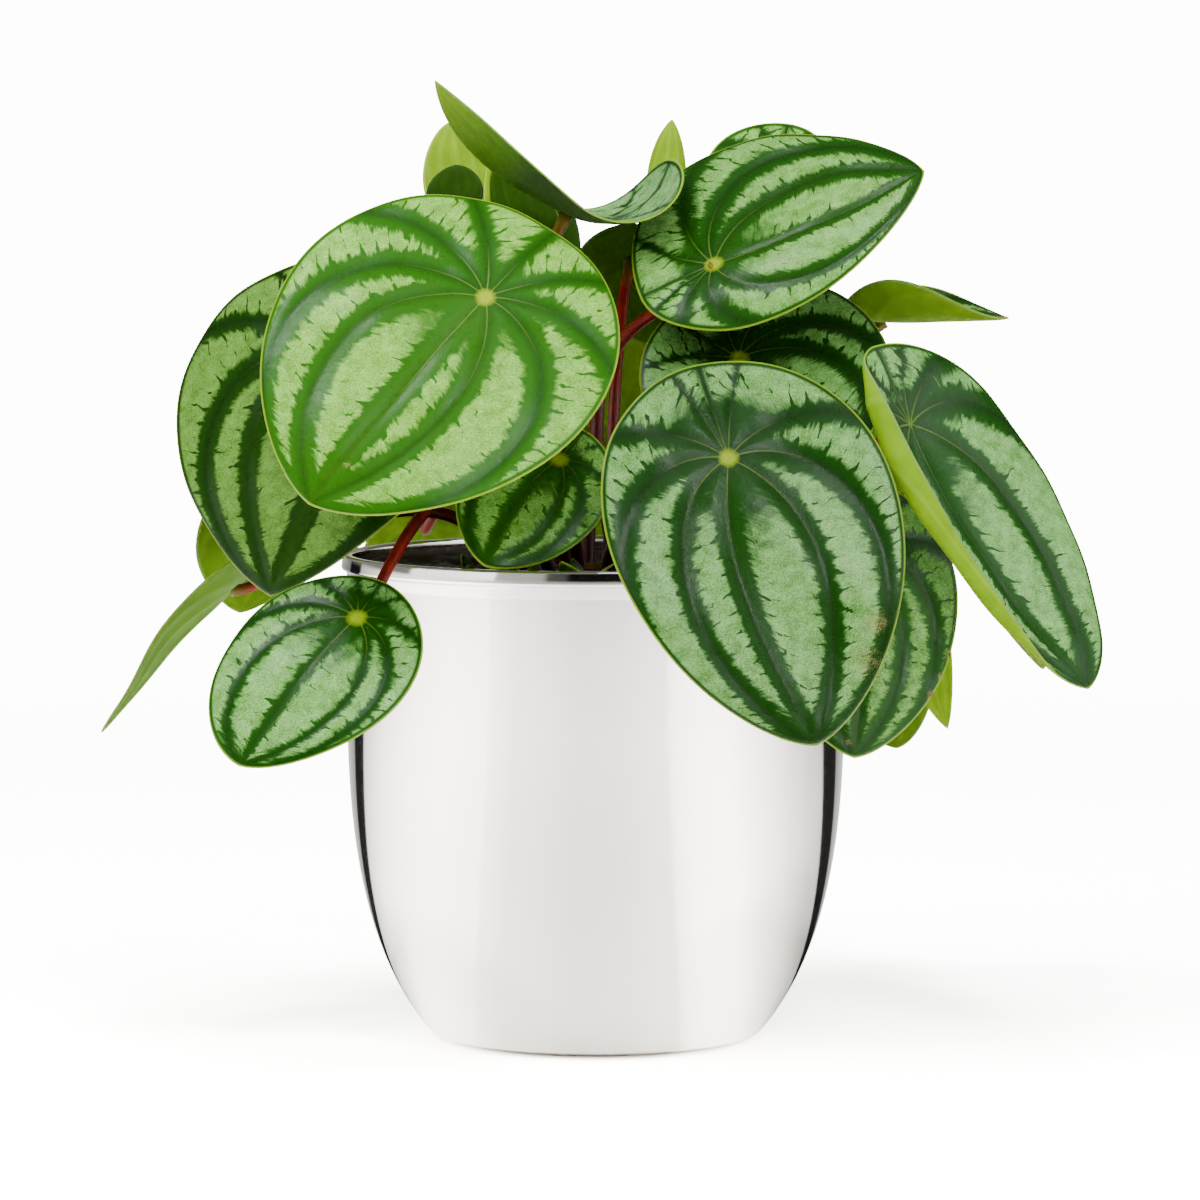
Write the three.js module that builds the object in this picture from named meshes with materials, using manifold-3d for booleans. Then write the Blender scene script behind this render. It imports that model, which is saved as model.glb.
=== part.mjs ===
// A watermelon peperomia in a polished steel pot, in millimetres, +Z up, standing on z = 0.
// The pot's axis is the z axis, and the plant is seen from the front when looking along +Y.

import * as THREE from 'three';
import { mergeVertices } from 'three/addons/utils/BufferGeometryUtils.js';
import Module from 'manifold-3d';

const wasm = await Module();
wasm.setup();

// Pot: spun from sheet, with a rolled bead round the mouth.
const POT_HEIGHT = 137.5;
const POT_RADIUS = 70.2;
const POT_SIDES = 40;
const FOOT_RADIUS = 36;
const SHEET = 1.2;
const BEAD_RADIUS = 71.7;
const BEAD_HEIGHT = 4.5;
const BEAD_ROUNDING = 0.6;
// The belly is a superellipse: it ends in the straight wall above, and would close below the foot.
const BELLY_START = 3;
const BELLY_TOP = 100;
const BELLY_REACH = 115;
const BELLY_ROUNDNESS = 2.6;

// Soil: fills the pot to a little under the rim, and is heaped slightly round the crown.
const SOIL_EDGE = 128.5;
const SOIL_HEAP = 1.8;
const SOIL_GAP = 0.6;
const CLEARANCE = 0.35;

// Crown: the short knobbly clump of stem bases that every leaf stalk grows from.
// CROWN_SIZE is its half sizes. A stalk starts inside it, at shares of them out and up.
const CROWN_CENTRE = new THREE.Vector3(-3, 2, 126);
const CROWN_SIZE = new THREE.Vector3(23, 17, 9);
const ROOT_SPREAD = 0.6;
const ROOT_RISE = 0.3;
const STALK_RADIUS = 1.7;
const STALK_SIDES = 6;
const STALK_STEPS = 7;
const STALK_GAP = 0.5;
// How a free stalk bends, as shares of the way to its blade: out and up from the crown, and how
// far from the blade it turns square to it.
const STALK_LEAN = 0.12;
const STALK_RISE = 0.4;
const STALK_TURN = 0.35;

// Blades: peltate, so the stalk joins under the blade, a quarter of the way along it.
// Each has rings of points and spokes across them: more on large blades and on the folded one.
const BLADE_THICKNESS = 1;
const LARGE_LEAF = 60;
const LARGE_GRID = { spokes: 24, rings: 4 };
const SMALL_GRID = { spokes: 16, rings: 3 };
const FOLDED_GRID = { spokes: 26, rings: 7 };
const SHOOT_GRID = { spokes: 8, rings: 1 };

// Young shoots: small tufts that stand in the soil just inside the front of the rim.
// Their blades lean out in turn by the two angles, in degrees above level.
const SHOOT_BASE = 2.2;
const SHOOT_DEPTH = 0.4;
const SHOOT_LEANS = [40, 62];
const SHOOT_BLADE_THICKNESS = 0.8;
const YOUNG_SHOOTS = {
  young_shoot_left: { foot: [-33, -44], turn: 20, lengths: [14, 11, 12] },
  young_shoot_middle: { foot: [-20, -56], turn: 65, lengths: [10, 13, 9, 12] },
  young_shoot_right: { foot: [-4, -50], turn: 0, lengths: [12, 10, 14] },
};

/*
 * One entry for each leaf. spot is where the stalk joins the blade and tip is its pointed end.
 * face is the way the upper side looks. halves are the half widths left and right of the midrib,
 * seen from above with the tip ahead, measured along the blade. base is the share of the length
 * behind the spot, and point sharpens the tip: 0.5 is round and 1 is a straight-sided wedge.
 * The angles are in degrees: bend droops the tip and baseBend the back, cups lift the two
 * margins, twist winds the blade about its midrib, and sweep bows the midrib to the left.
 * fold turns the right-hand margin over: it starts at a share of the half width there, is done
 * within a reach in millimetres, and turns by an angle.
 */
const LEAVES = {
  leaf_front_left: {
    color: '#7da45f', spot: [-30, -55, 211], tip: [-77, -85, 157], face: [-0.12, -0.9, 0.42],
    halves: [45, 50], base: 0.29, point: 0.66, bend: 12, baseBend: 15, cups: [-10, -10],
  },
  leaf_left: {
    color: '#6f9a5e', spot: [-77, -22, 196], tip: [-89, -48, 129], face: [-0.35, -0.85, 0.35],
    halves: [50, 43], base: 0.28, point: 0.82, bend: 15, cups: [-15, -15],
  },
  leaf_low_left: {
    color: '#5f8f52', spot: [-65, -63, 124], tip: [-96, -83, 86], face: [-0.15, -0.8, 0.58],
    halves: [24, 29], base: 0.21, point: 0.62, bend: 20, cups: [-18, -12], sweep: -18,
    stalk: [[-40, -35, 202], [-62.5, -51, 116]],
  },
  leaf_far_left: {
    color: '#7d8a4a', spot: [-103, 5, 127], tip: [-139, -5, 87], face: [-0.66, 0.12, 0.7],
    halves: [31, 31], base: 0.25, point: 0.75, bend: 10, cups: [12, 25],
    stalk: [[-55, 3, 178], [-91, 3, 123]],
  },
  leaf_left_underside: {
    color: '#8b9a4c', spot: [-86, 45, 149], tip: [-104, 60, 116], face: [-0.5, 0.8, 0.35],
    halves: [28, 20], base: 0.25, point: 0.7,
    stalk: [[-45, 25, 180], [-80, 36, 142]],
  },
  leaf_centre_small: {
    color: '#557f45', spot: [-10, -42, 166], tip: [-30, -62, 138], face: [-0.1, -0.9, 0.45],
    halves: [19, 22], base: 0.24, point: 0.64, bend: 20, cups: [-25, -15],
  },
  leaf_upper_right: {
    color: '#5f9464', spot: [33, -22, 219], tip: [91, -22, 245], face: [0.05, -0.6, 0.78],
    halves: [46, 25], base: 0.26, point: 0.74, cups: [-8, -20],
    stalk: [[-14, 4, 212], [20, -10, 199]],
  },
  leaf_front_right: {
    color: '#5c8f5a', spot: [36, -70, 168], tip: [59, -98, 93], face: [0.08, -0.9, 0.4],
    halves: [41, 39], base: 0.26, point: 0.68, bend: 15, cups: [6, 6],
  },
  leaf_shaded_right: {
    color: '#2f5a33', spot: [40, -20, 193], tip: [76, -41, 174], face: [0.05, -0.75, 0.65],
    halves: [36, 34], base: 0.36, point: 0.58,
  },
  leaf_right_folded: {
    color: '#679a62', spot: [86, -50, 176], tip: [134, -64, 105], face: [0.4, -0.8, 0.45],
    halves: [37, 21], base: 0.22, point: 0.72, cups: [-18, 0], sweep: 22,
    fold: { start: 0.47, reach: 7.5, angle: 165 },
    stalk: [[45, -18, 188], [76, -34, 160]],
  },
  leaf_low_right: {
    color: '#5a8a58', spot: [73, -55, 141], tip: [70, -72, 87], face: [0.3, -0.85, 0.4],
    halves: [28, 31], base: 0.27, point: 0.68, bend: 10,
    stalk: [[45, -35, 178], [68, -45, 133]],
  },
  leaf_low_right_back: {
    color: '#8fae55', spot: [82, -18, 143], tip: [99, -10, 89], face: [0.2, 0.9, 0.3],
    halves: [11, 10], base: 0.22, point: 0.8,
    stalk: [[50, -10, 190], [83, -28, 143]],
  },
  leaf_right_back: {
    color: '#7f9f52', spot: [82, 25, 202], tip: [117, 15, 203], face: [0, -0.05, 1],
    halves: [19, 21], base: 0.25, point: 0.85, bend: -8, cups: [60, 85],
    stalk: [[42, 15, 186], [70, 24, 191]],
  },
  leaf_top_right_back: {
    color: '#6f9a4f', spot: [52, 30, 247], tip: [44, 8, 219], face: [0, -0.8, 0.6],
    halves: [17, 20], base: 0.28, point: 0.7,
    stalk: [[34, 12, 195], [50, 40, 232]],
  },
  leaf_upright_back: {
    color: '#a3bf45', spot: [18, 40, 227], tip: [22, 55, 259], face: [0.1, 0.9, -0.2],
    halves: [8.5, 8.5], base: 0.25, point: 0.8, cups: [80, 80],
    stalk: [[38, 46, 176], [26, 20, 216]],
  },
  leaf_top_trough: {
    color: '#5d8069', spot: [-8, 3, 233], tip: [-45, 0, 270], face: [0.68, 0.1, 0.73],
    halves: [27, 20], base: 0.42, point: 0.9, bend: -34, baseBend: -110, cups: [8, 14], twist: 24,
  },
  leaf_top_left_back: {
    color: '#93b24a', spot: [-38, 40, 235], tip: [-42, 50, 258], face: [-0.3, 0.9, -0.2],
    halves: [10, 11], base: 0.25, point: 0.7,
    stalk: [[-20, 20, 190], [-33, 30, 221]],
  },
  leaf_top_left_arch: {
    color: '#26401f', spot: [-39, 27.5, 236], tip: [-40, 33.5, 246], face: [-0.1, -0.9, 0.2],
    halves: [9, 7], base: 0.3, point: 0.6,
    stalk: [[-18, 18, 190], [-37, 32.5, 222]],
  },
  leaf_top_left_inner: {
    color: '#a9bf58', spot: [-22, 24, 222], tip: [-29, 32, 251], face: [-0.3, 0.9, -0.2],
    halves: [14, 8], base: 0.25, point: 0.8,
    stalk: [[-12, 16, 185], [-19, 15, 208]],
  },
  leaf_top_left_dark: {
    color: '#24421f', spot: [-17, 43, 226], tip: [-13, 33, 202], face: [0.05, -0.9, 0.35],
    halves: [12, 13], base: 0.4, point: 0.65,
    stalk: [[-10, 28, 180], [-16, 52, 210]],
  },
  leaf_dark_centre: {
    color: '#2f4a22', spot: [10, 20, 219], tip: [17, 34, 195], face: [0.2, 0.9, 0.3],
    halves: [17, 18], base: 0.3, point: 0.7,
  },
  leaf_back_top: {
    color: '#5f8f52', spot: [2, 64, 200], tip: [6, 108, 154], face: [0.05, 0.7, 0.7],
    halves: [38, 33], base: 0.27, point: 0.7, bend: 18, cups: [-10, -10],
  },
  leaf_back_left: {
    color: '#5f8f52', spot: [-58, 52, 190], tip: [-102, 88, 150], face: [-0.5, 0.6, 0.6],
    halves: [40, 40], base: 0.26, point: 0.7, bend: 15, cups: [-10, -10],
  },
  leaf_back_right: {
    color: '#5f8f52', spot: [65, 59, 188], tip: [101, 97, 140], face: [0.55, 0.65, 0.5],
    halves: [40, 40], base: 0.26, point: 0.7, bend: 15, cups: [-10, -10],
  },
  leaf_back_middle: {
    color: '#5a8a50', spot: [0, 82, 150], tip: [-8, 108, 88], face: [0, 0.9, 0.4],
    halves: [38, 38], base: 0.25, point: 0.68, bend: 15, cups: [-8, -8],
  },
  leaf_back_low_left: {
    color: '#5a8a50', spot: [-50, 69, 140], tip: [-60, 89, 88], face: [-0.3, 0.9, 0.4],
    halves: [18, 27], base: 0.24, point: 0.68, bend: 15, cups: [-8, -8],
    stalk: [[-34, 44, 188], [-51, 60, 134]],
  },
  leaf_back_low_right: {
    color: '#5a8a50', spot: [70, 62, 125], tip: [88, 76, 74], face: [0.6, 0.75, 0.4],
    halves: [28, 28], base: 0.24, point: 0.68, bend: 15, cups: [-8, -8],
    stalk: [[45, 42, 182], [64, 55, 120]],
  },
  leaf_right_low: {
    color: '#5f8f52', spot: [100, 22, 150], tip: [128, 28, 102], face: [0.85, 0.2, 0.5],
    halves: [30, 30], base: 0.25, point: 0.68, bend: 15, cups: [-8, -8],
    stalk: [[55, 12, 182], [90, 20, 143]],
  },
  leaf_left_high: {
    color: '#679a5e', spot: [-62, 22, 207], tip: [-108, 34, 186], face: [-0.55, 0.15, 0.82],
    halves: [30, 30], base: 0.26, point: 0.68, bend: 15, cups: [-8, -8],
  },
};

const degrees = THREE.MathUtils.degToRad;

/* A closed manifold body from a geometry, and back to a plain geometry. */
function toSolid(geometry) {
  const bare = geometry.clone();
  bare.deleteAttribute('normal');
  bare.deleteAttribute('uv');
  const merged = mergeVertices(bare, 1e-4);
  return new wasm.Manifold(new wasm.Mesh({
    numProp: 3,
    vertProperties: new Float32Array(merged.attributes.position.array),
    triVerts: new Uint32Array(merged.index.array),
  }));
}

function toGeometry(solid) {
  const mesh = solid.getMesh();
  const geometry = new THREE.BufferGeometry();
  geometry.setAttribute('position', new THREE.BufferAttribute(mesh.vertProperties, 3));
  geometry.setIndex(new THREE.BufferAttribute(mesh.triVerts, 1));
  return geometry;
}

/* Radius of the pot's outside at a height: a superellipse for the belly, then straight up. */
function potRadius(z) {
  const below = Math.max(BELLY_TOP - z, 0) / BELLY_REACH;
  return POT_RADIUS * (1 - below ** BELLY_ROUNDNESS) ** (1 / BELLY_ROUNDNESS);
}

/* Points (radius, height) up the pot's wall, set in from the outside by a distance. */
function wallProfile(inset, from, to, count) {
  const points = [];
  for (let i = 0; i <= count; i += 1) {
    // The steps are shorter near the foot, where the wall turns fastest.
    const z = from + (to - from) * (i / count) ** 1.6;
    points.push(new THREE.Vector2(potRadius(z) - inset, z));
  }
  return points;
}

/* A round piece from its profile of (radius, height) points. */
function turn(profile, segments) {
  return new THREE.LatheGeometry(profile, segments).rotateX(Math.PI / 2);
}

function makePot() {
  const beadBottom = POT_HEIGHT - BEAD_HEIGHT;
  const beadInner = POT_RADIUS - SHEET - 0.4;
  const profile = [
    new THREE.Vector2(0, 0),
    new THREE.Vector2(FOOT_RADIUS, 0),
    new THREE.Vector2(FOOT_RADIUS + 7, 0.8),
    ...wallProfile(0, BELLY_START, beadBottom - 0.4, 8),
    new THREE.Vector2(BEAD_RADIUS - BEAD_ROUNDING / 2, beadBottom + BEAD_ROUNDING),
    new THREE.Vector2(BEAD_RADIUS, beadBottom + BEAD_HEIGHT / 2),
    new THREE.Vector2(BEAD_RADIUS - BEAD_ROUNDING, POT_HEIGHT - BEAD_ROUNDING),
    new THREE.Vector2(BEAD_RADIUS - 2 * BEAD_ROUNDING, POT_HEIGHT),
    new THREE.Vector2(beadInner, POT_HEIGHT - BEAD_ROUNDING),
    new THREE.Vector2(beadInner, beadBottom),
    ...wallProfile(SHEET, BELLY_START + SHEET, beadBottom - 2, 7).reverse(),
    new THREE.Vector2(FOOT_RADIUS, SHEET),
    new THREE.Vector2(0, SHEET),
  ];
  return turn(profile, POT_SIDES);
}

function makeSoil(holes) {
  const inset = SHEET + SOIL_GAP;
  const floor = SHEET + CLEARANCE;
  const heap = [];
  for (let i = 1; i <= 3; i += 1) {
    const share = 1 - i / 4;
    const z = SOIL_EDGE + SOIL_HEAP * (1 - share ** 2);
    heap.push(new THREE.Vector2((potRadius(SOIL_EDGE) - inset) * share, z));
  }
  const profile = [
    new THREE.Vector2(0, floor),
    new THREE.Vector2(FOOT_RADIUS, floor),
    ...wallProfile(inset, BELLY_START + inset, SOIL_EDGE, 6),
    ...heap,
    new THREE.Vector2(0, SOIL_EDGE + SOIL_HEAP),
  ];
  let soil = toSolid(turn(profile, POT_SIDES));
  for (const hole of holes) {
    soil = soil.subtract(toSolid(hole));
  }
  return toGeometry(soil);
}

/* A ball stretched to three half sizes. */
function makeBall(centre, size, detail) {
  const ball = new THREE.IcosahedronGeometry(1, detail);
  ball.scale(size.x, size.y, size.z);
  ball.translate(centre.x, centre.y, centre.z);
  return ball;
}

/* Point after a length s along an arc of curvature k that starts along the first axis. */
function arcPoint(k, s) {
  if (Math.abs(k) < 1e-6) {
    return [s, 0];
  }
  return [Math.sin(k * s) / k, (1 - Math.cos(k * s)) / k];
}

/*
 * How far out and up one side of the blade's cross-section goes in an arc length t. Its slope
 * grows evenly to the cup angle at the margin, and a fold adds its own angle over a short way.
 */
function sidePath(t, half, cup, fold) {
  const steps = 24;
  let out = 0;
  let up = 0;
  for (let i = 0; i < steps; i += 1) {
    const way = ((i + 0.5) / steps) * t;
    const turn = THREE.MathUtils.smoothstep(way, fold.from, fold.from + fold.reach) * fold.angle;
    const slope = degrees((cup * way) / half + turn);
    out += (Math.cos(slope) * t) / steps;
    up += (Math.sin(slope) * t) / steps;
  }
  return [out, up];
}

/* The axes and lengths of a leaf, worked out from its entry in the table. */
function layOut(entry) {
  const leaf = {
    bend: 0, baseBend: 0, cups: [0, 0], twist: 0, sweep: 0,
    fold: { start: 0.5, reach: 1, angle: 0 },
    ...entry,
  };
  leaf.spot = new THREE.Vector3(...entry.spot);
  leaf.ahead = new THREE.Vector3(...entry.tip).sub(leaf.spot);
  const chord = leaf.ahead.length();
  leaf.ahead.normalize();
  leaf.up = new THREE.Vector3(...entry.face);
  leaf.up.addScaledVector(leaf.ahead, -leaf.up.dot(leaf.ahead)).normalize();
  leaf.left = new THREE.Vector3().crossVectors(leaf.up, leaf.ahead);
  // The midrib is longer than the straight line from spot to tip by its bend and its sweep.
  const half = degrees(leaf.bend) / 2;
  leaf.drop = half;
  leaf.normal = leaf.up.clone().multiplyScalar(Math.cos(half));
  leaf.normal.addScaledVector(leaf.ahead, -Math.sin(half));
  leaf.straight = Math.abs(half) < 1e-6 ? 1 : Math.sin(half) / half;
  leaf.aside = degrees(leaf.sweep) / 2;
  leaf.front = chord / Math.hypot(leaf.straight, leaf.aside);
  leaf.back = (leaf.front * leaf.base) / (1 - leaf.base);
  leaf.fullest = (0.5 - leaf.point) / (0.5 + leaf.point);
  return leaf;
}

/*
 * A point of the blade from disc coordinates, X from back (-1) to tip (1) and Y to the left.
 * The disc is stretched to the leaf's outline, its cross-section and midrib are curved, and it
 * is turned so that the spot and the tip land where the table puts them.
 */
function bladePoint(leaf, X, Y) {
  const { front, back, point, fullest } = leaf;
  const s = ((X + 1) / 2) * (front + back) - back;
  const widest = (1 - fullest) ** point * (1 + fullest) ** 0.5;
  const swell = Math.max(1 - X, 1e-6) ** (point - 0.5) / widest;
  const side = Y >= 0 ? 0 : 1;
  const half = leaf.halves[side];
  const t = Math.abs(Y) * half * swell;
  const fold = {
    from: leaf.fold.start * half * swell * Math.sqrt(Math.max(1 - X * X, 0)),
    reach: leaf.fold.reach,
    angle: side === 1 ? leaf.fold.angle : 0,
  };
  const [out, lift] = sidePath(t, half, leaf.cups[side], fold);
  const across = side === 0 ? out : -out;

  const wind = (degrees(leaf.twist) * s) / front;
  const y = across * Math.cos(wind) - lift * Math.sin(wind);
  const z = across * Math.sin(wind) + lift * Math.cos(wind);

  const curvature = s > 0 ? degrees(leaf.bend) / front : degrees(leaf.baseBend) / back;
  const [along, fall] = arcPoint(curvature, s);
  const tilt = -curvature * s;
  const x = along - z * Math.sin(tilt);
  const rise = -fall + z * Math.cos(tilt);
  const bow = s > 0 ? (leaf.aside * s * s) / front : 0;

  const x1 = x * Math.cos(leaf.drop) - rise * Math.sin(leaf.drop);
  const z1 = x * Math.sin(leaf.drop) + rise * Math.cos(leaf.drop);
  const yaw = Math.atan2(leaf.aside, leaf.straight);
  const x2 = x1 * Math.cos(yaw) + (y + bow) * Math.sin(yaw);
  const y2 = -x1 * Math.sin(yaw) + (y + bow) * Math.cos(yaw);
  return leaf.spot.clone()
    .addScaledVector(leaf.ahead, x2)
    .addScaledVector(leaf.left, y2)
    .addScaledVector(leaf.up, z1);
}

/* A blade of even thickness: rings of points round the spot, on an upper and a lower face. */
function makeBlade(leaf, grid, thickness) {
  const { spokes, rings } = grid;
  const centreX = 2 * leaf.base - 1;
  const middle = [bladePoint(leaf, centreX, 0)];
  for (let ring = 1; ring <= rings; ring += 1) {
    const q = (ring / rings) ** 0.85;
    for (let spoke = 0; spoke < spokes; spoke += 1) {
      const angle = (2 * Math.PI * spoke) / spokes;
      const X = centreX + q * (Math.cos(angle) - centreX);
      middle.push(bladePoint(leaf, X, q * Math.sin(angle)));
    }
  }
  const faces = [];
  for (let spoke = 0; spoke < spokes; spoke += 1) {
    const next = (spoke + 1) % spokes;
    faces.push([0, 1 + spoke, 1 + next]);
    for (let ring = 1; ring < rings; ring += 1) {
      const inner = 1 + (ring - 1) * spokes;
      const outer = inner + spokes;
      faces.push([inner + spoke, outer + spoke, outer + next]);
      faces.push([inner + spoke, outer + next, inner + next]);
    }
  }
  const sheet = new THREE.BufferGeometry().setFromPoints(middle);
  sheet.setIndex(faces.flat());
  sheet.computeVertexNormals();
  const normals = sheet.attributes.normal;
  const upper = [];
  const lower = [];
  middle.forEach((point, i) => {
    const normal = new THREE.Vector3().fromBufferAttribute(normals, i);
    upper.push(point.clone().addScaledVector(normal, thickness / 2));
    lower.push(point.clone().addScaledVector(normal, -thickness / 2));
  });
  const count = middle.length;
  const closed = [...faces];
  for (const [a, b, c] of faces) {
    closed.push([a + count, c + count, b + count]);
  }
  const edge = count - spokes;
  for (let spoke = 0; spoke < spokes; spoke += 1) {
    const a = edge + spoke;
    const b = edge + ((spoke + 1) % spokes);
    closed.push([a, a + count, b + count], [a, b + count, b]);
  }
  const blade = new THREE.BufferGeometry().setFromPoints([...upper, ...lower]);
  blade.setIndex(closed.flat());
  return blade;
}

/*
 * A leaf stalk: from inside the crown, up and out, and to the underside of its blade, where it
 * stops just short of it. The table gives the curve's two middle points where it must go round
 * something, and otherwise it rises from the crown and comes in square to the blade.
 */
function makeStalk(leaf) {
  const away = leaf.spot.clone().sub(CROWN_CENTRE);
  const azimuth = Math.atan2(away.y / CROWN_SIZE.y, away.x / CROWN_SIZE.x);
  const root = CROWN_CENTRE.clone().add(new THREE.Vector3(
    CROWN_SIZE.x * ROOT_SPREAD * Math.cos(azimuth),
    CROWN_SIZE.y * ROOT_SPREAD * Math.sin(azimuth),
    CROWN_SIZE.z * ROOT_RISE,
  ));
  const reach = away.length();
  const outward = new THREE.Vector3(away.x * STALK_LEAN, away.y * STALK_LEAN, reach * STALK_RISE);
  let first = root.clone().add(outward);
  let last = leaf.spot.clone().addScaledVector(leaf.normal, -reach * STALK_TURN);
  if (leaf.stalk) {
    first = new THREE.Vector3(...leaf.stalk[0]);
    last = new THREE.Vector3(...leaf.stalk[1]);
  }
  const arrival = leaf.spot.clone().sub(last).normalize();
  const slant = Math.sqrt(1 - Math.min(arrival.dot(leaf.normal) ** 2, 1));
  const short = BLADE_THICKNESS / 2 + STALK_GAP + STALK_RADIUS * slant;
  const end = leaf.spot.clone().addScaledVector(leaf.normal, -short);
  const path = new THREE.CubicBezierCurve3(root, first, last, end);
  const corners = [];
  for (let i = 0; i < STALK_SIDES; i += 1) {
    const angle = (2 * Math.PI * i) / STALK_SIDES;
    corners.push(new THREE.Vector2(Math.cos(angle), Math.sin(angle)).multiplyScalar(STALK_RADIUS));
  }
  const section = new THREE.Shape(corners);
  return new THREE.ExtrudeGeometry(section, { steps: STALK_STEPS, extrudePath: path });
}

/* A young shoot: narrow blades that fan upward out of a small ball of stem bases. */
function makeShoot(shoot) {
  const [x, y] = shoot.foot;
  const centre = new THREE.Vector3(x, y, SOIL_EDGE + SHOOT_BASE - SHOOT_DEPTH);
  let tuft = toSolid(makeBall(centre, new THREE.Vector3().setScalar(SHOOT_BASE), 1));
  shoot.lengths.forEach((length, i) => {
    const azimuth = degrees(shoot.turn + (i * 360) / shoot.lengths.length);
    const lean = degrees(SHOOT_LEANS[i % SHOOT_LEANS.length]);
    const rise = new THREE.Vector3(
      Math.cos(azimuth) * Math.cos(lean),
      Math.sin(azimuth) * Math.cos(lean),
      Math.sin(lean),
    );
    const blade = layOut({
      spot: centre.clone().addScaledVector(rise, SHOOT_BASE * 0.8).toArray(),
      tip: centre.clone().addScaledVector(rise, length).toArray(),
      face: [-Math.cos(azimuth), -Math.sin(azimuth), 1],
      halves: [length / 4, length / 4],
      base: 0.1,
      point: 0.85,
      bend: 25,
    });
    tuft = tuft.add(toSolid(makeBlade(blade, SHOOT_GRID, SHOOT_BLADE_THICKNESS)));
  });
  return { centre, geometry: toGeometry(tuft) };
}

function material(name, color, roughness, metalness) {
  return new THREE.MeshStandardMaterial({ name, color, roughness, metalness });
}

const plant = new THREE.Group();

function addPiece(name, geometry, finish) {
  const mesh = new THREE.Mesh(geometry, finish);
  mesh.name = name;
  plant.add(mesh);
}

const leaves = Object.fromEntries(
  Object.entries(LEAVES).map(([name, entry]) => [name, layOut(entry)]),
);

let stalks = toSolid(makeBall(CROWN_CENTRE, CROWN_SIZE, 2));
for (const leaf of Object.values(leaves)) {
  stalks = stalks.add(toSolid(makeStalk(leaf)));
}
const shoots = Object.fromEntries(
  Object.entries(YOUNG_SHOOTS).map(([name, entry]) => [name, makeShoot(entry)]),
);
const holes = [makeBall(CROWN_CENTRE, CROWN_SIZE.clone().addScalar(CLEARANCE), 2)];
for (const shoot of Object.values(shoots)) {
  holes.push(makeBall(shoot.centre, new THREE.Vector3().setScalar(SHOOT_BASE + CLEARANCE), 1));
}

addPiece('pot', makePot(), material('steel', '#c9c8c6', 0.12, 1));
addPiece('soil', makeSoil(holes), material('soil', '#2b1d14', 0.95, 0));
addPiece('crown_and_stalks', toGeometry(stalks), material('stalk', '#8f3a2c', 0.5, 0));
for (const [name, leaf] of Object.entries(leaves)) {
  let grid = leaf.front + leaf.back > LARGE_LEAF ? LARGE_GRID : SMALL_GRID;
  if (leaf.fold.angle !== 0) {
    grid = FOLDED_GRID;
  }
  addPiece(name, makeBlade(leaf, grid, BLADE_THICKNESS), material(name, leaf.color, 0.35, 0));
}
for (const [name, shoot] of Object.entries(shoots)) {
  addPiece(name, shoot.geometry, material(name, '#4f7a2c', 0.5, 0));
}

export default plant;
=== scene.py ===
import math

import bpy
import numpy as np
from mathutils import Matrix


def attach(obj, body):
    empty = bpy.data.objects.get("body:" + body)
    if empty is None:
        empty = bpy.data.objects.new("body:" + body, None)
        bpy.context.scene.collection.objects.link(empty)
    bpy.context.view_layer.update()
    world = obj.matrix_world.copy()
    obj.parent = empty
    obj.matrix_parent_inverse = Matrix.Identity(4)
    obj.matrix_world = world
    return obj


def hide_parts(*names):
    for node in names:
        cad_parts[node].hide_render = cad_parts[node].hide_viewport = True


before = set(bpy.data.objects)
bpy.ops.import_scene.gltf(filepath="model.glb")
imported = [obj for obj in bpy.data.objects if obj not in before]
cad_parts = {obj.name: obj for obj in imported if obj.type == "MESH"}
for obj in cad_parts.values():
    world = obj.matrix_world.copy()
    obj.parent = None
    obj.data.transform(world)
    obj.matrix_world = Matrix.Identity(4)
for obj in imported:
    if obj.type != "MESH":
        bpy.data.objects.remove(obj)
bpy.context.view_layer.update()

# A watermelon peperomia in a polished steel pot, in metres, seen from the front along +Y.
# Sizes of the pieces are given in millimetres, as the maker would, and turned to metres by MM.
MM = 0.001

# Camera: 1.8 m in front of the pot's axis and just above the rim, looking slightly down
# through a long lens.
CAMERA_PLACE = (0.0012, -1.8, 0.2686)
CAMERA_DOWN = 4.59
CAMERA_LENS = 192

camera = bpy.data.objects.new("camera", bpy.data.cameras.new("camera"))
bpy.context.collection.objects.link(camera)
camera.location = CAMERA_PLACE
camera.rotation_euler = (math.radians(90 - CAMERA_DOWN), 0, 0)
camera.data.lens = CAMERA_LENS
bpy.context.scene.camera = camera


# Pot: one sheet of stainless steel spun over a former, with the edge rolled into a bead round
# the mouth, then polished to a mirror inside and out.
POT_HEIGHT = 137.5
POT_RADIUS = 70.2
POT_SIDES = 192
FOOT_RADIUS = 36
# The foot turns up into the belly: how far out from the foot's edge, and how high.
FOOT_CURVE = ((-6, 0), (0, 0), (3.5, 0.25), (6.5, 0.9))
SHEET = 1.2
BEAD_RADIUS = 71.7
BEAD_HEIGHT = 4.5
BEAD_ROUNDING = 0.9
BEAD_LEAN = 0.35
BELLY_START = 3
BELLY_TOP = 100
BELLY_REACH = 115
BELLY_ROUNDNESS = 2.6


def linear(hex_colour):
    """Turns an sRGB hex colour to linear red, green, blue and full alpha."""
    parts = [int(hex_colour[i:i + 2], 16) / 255 for i in (1, 3, 5)]
    return tuple(c / 12.92 if c <= 0.04045 else ((c + 0.055) / 1.055) ** 2.4 for c in parts) + (1,)


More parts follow.
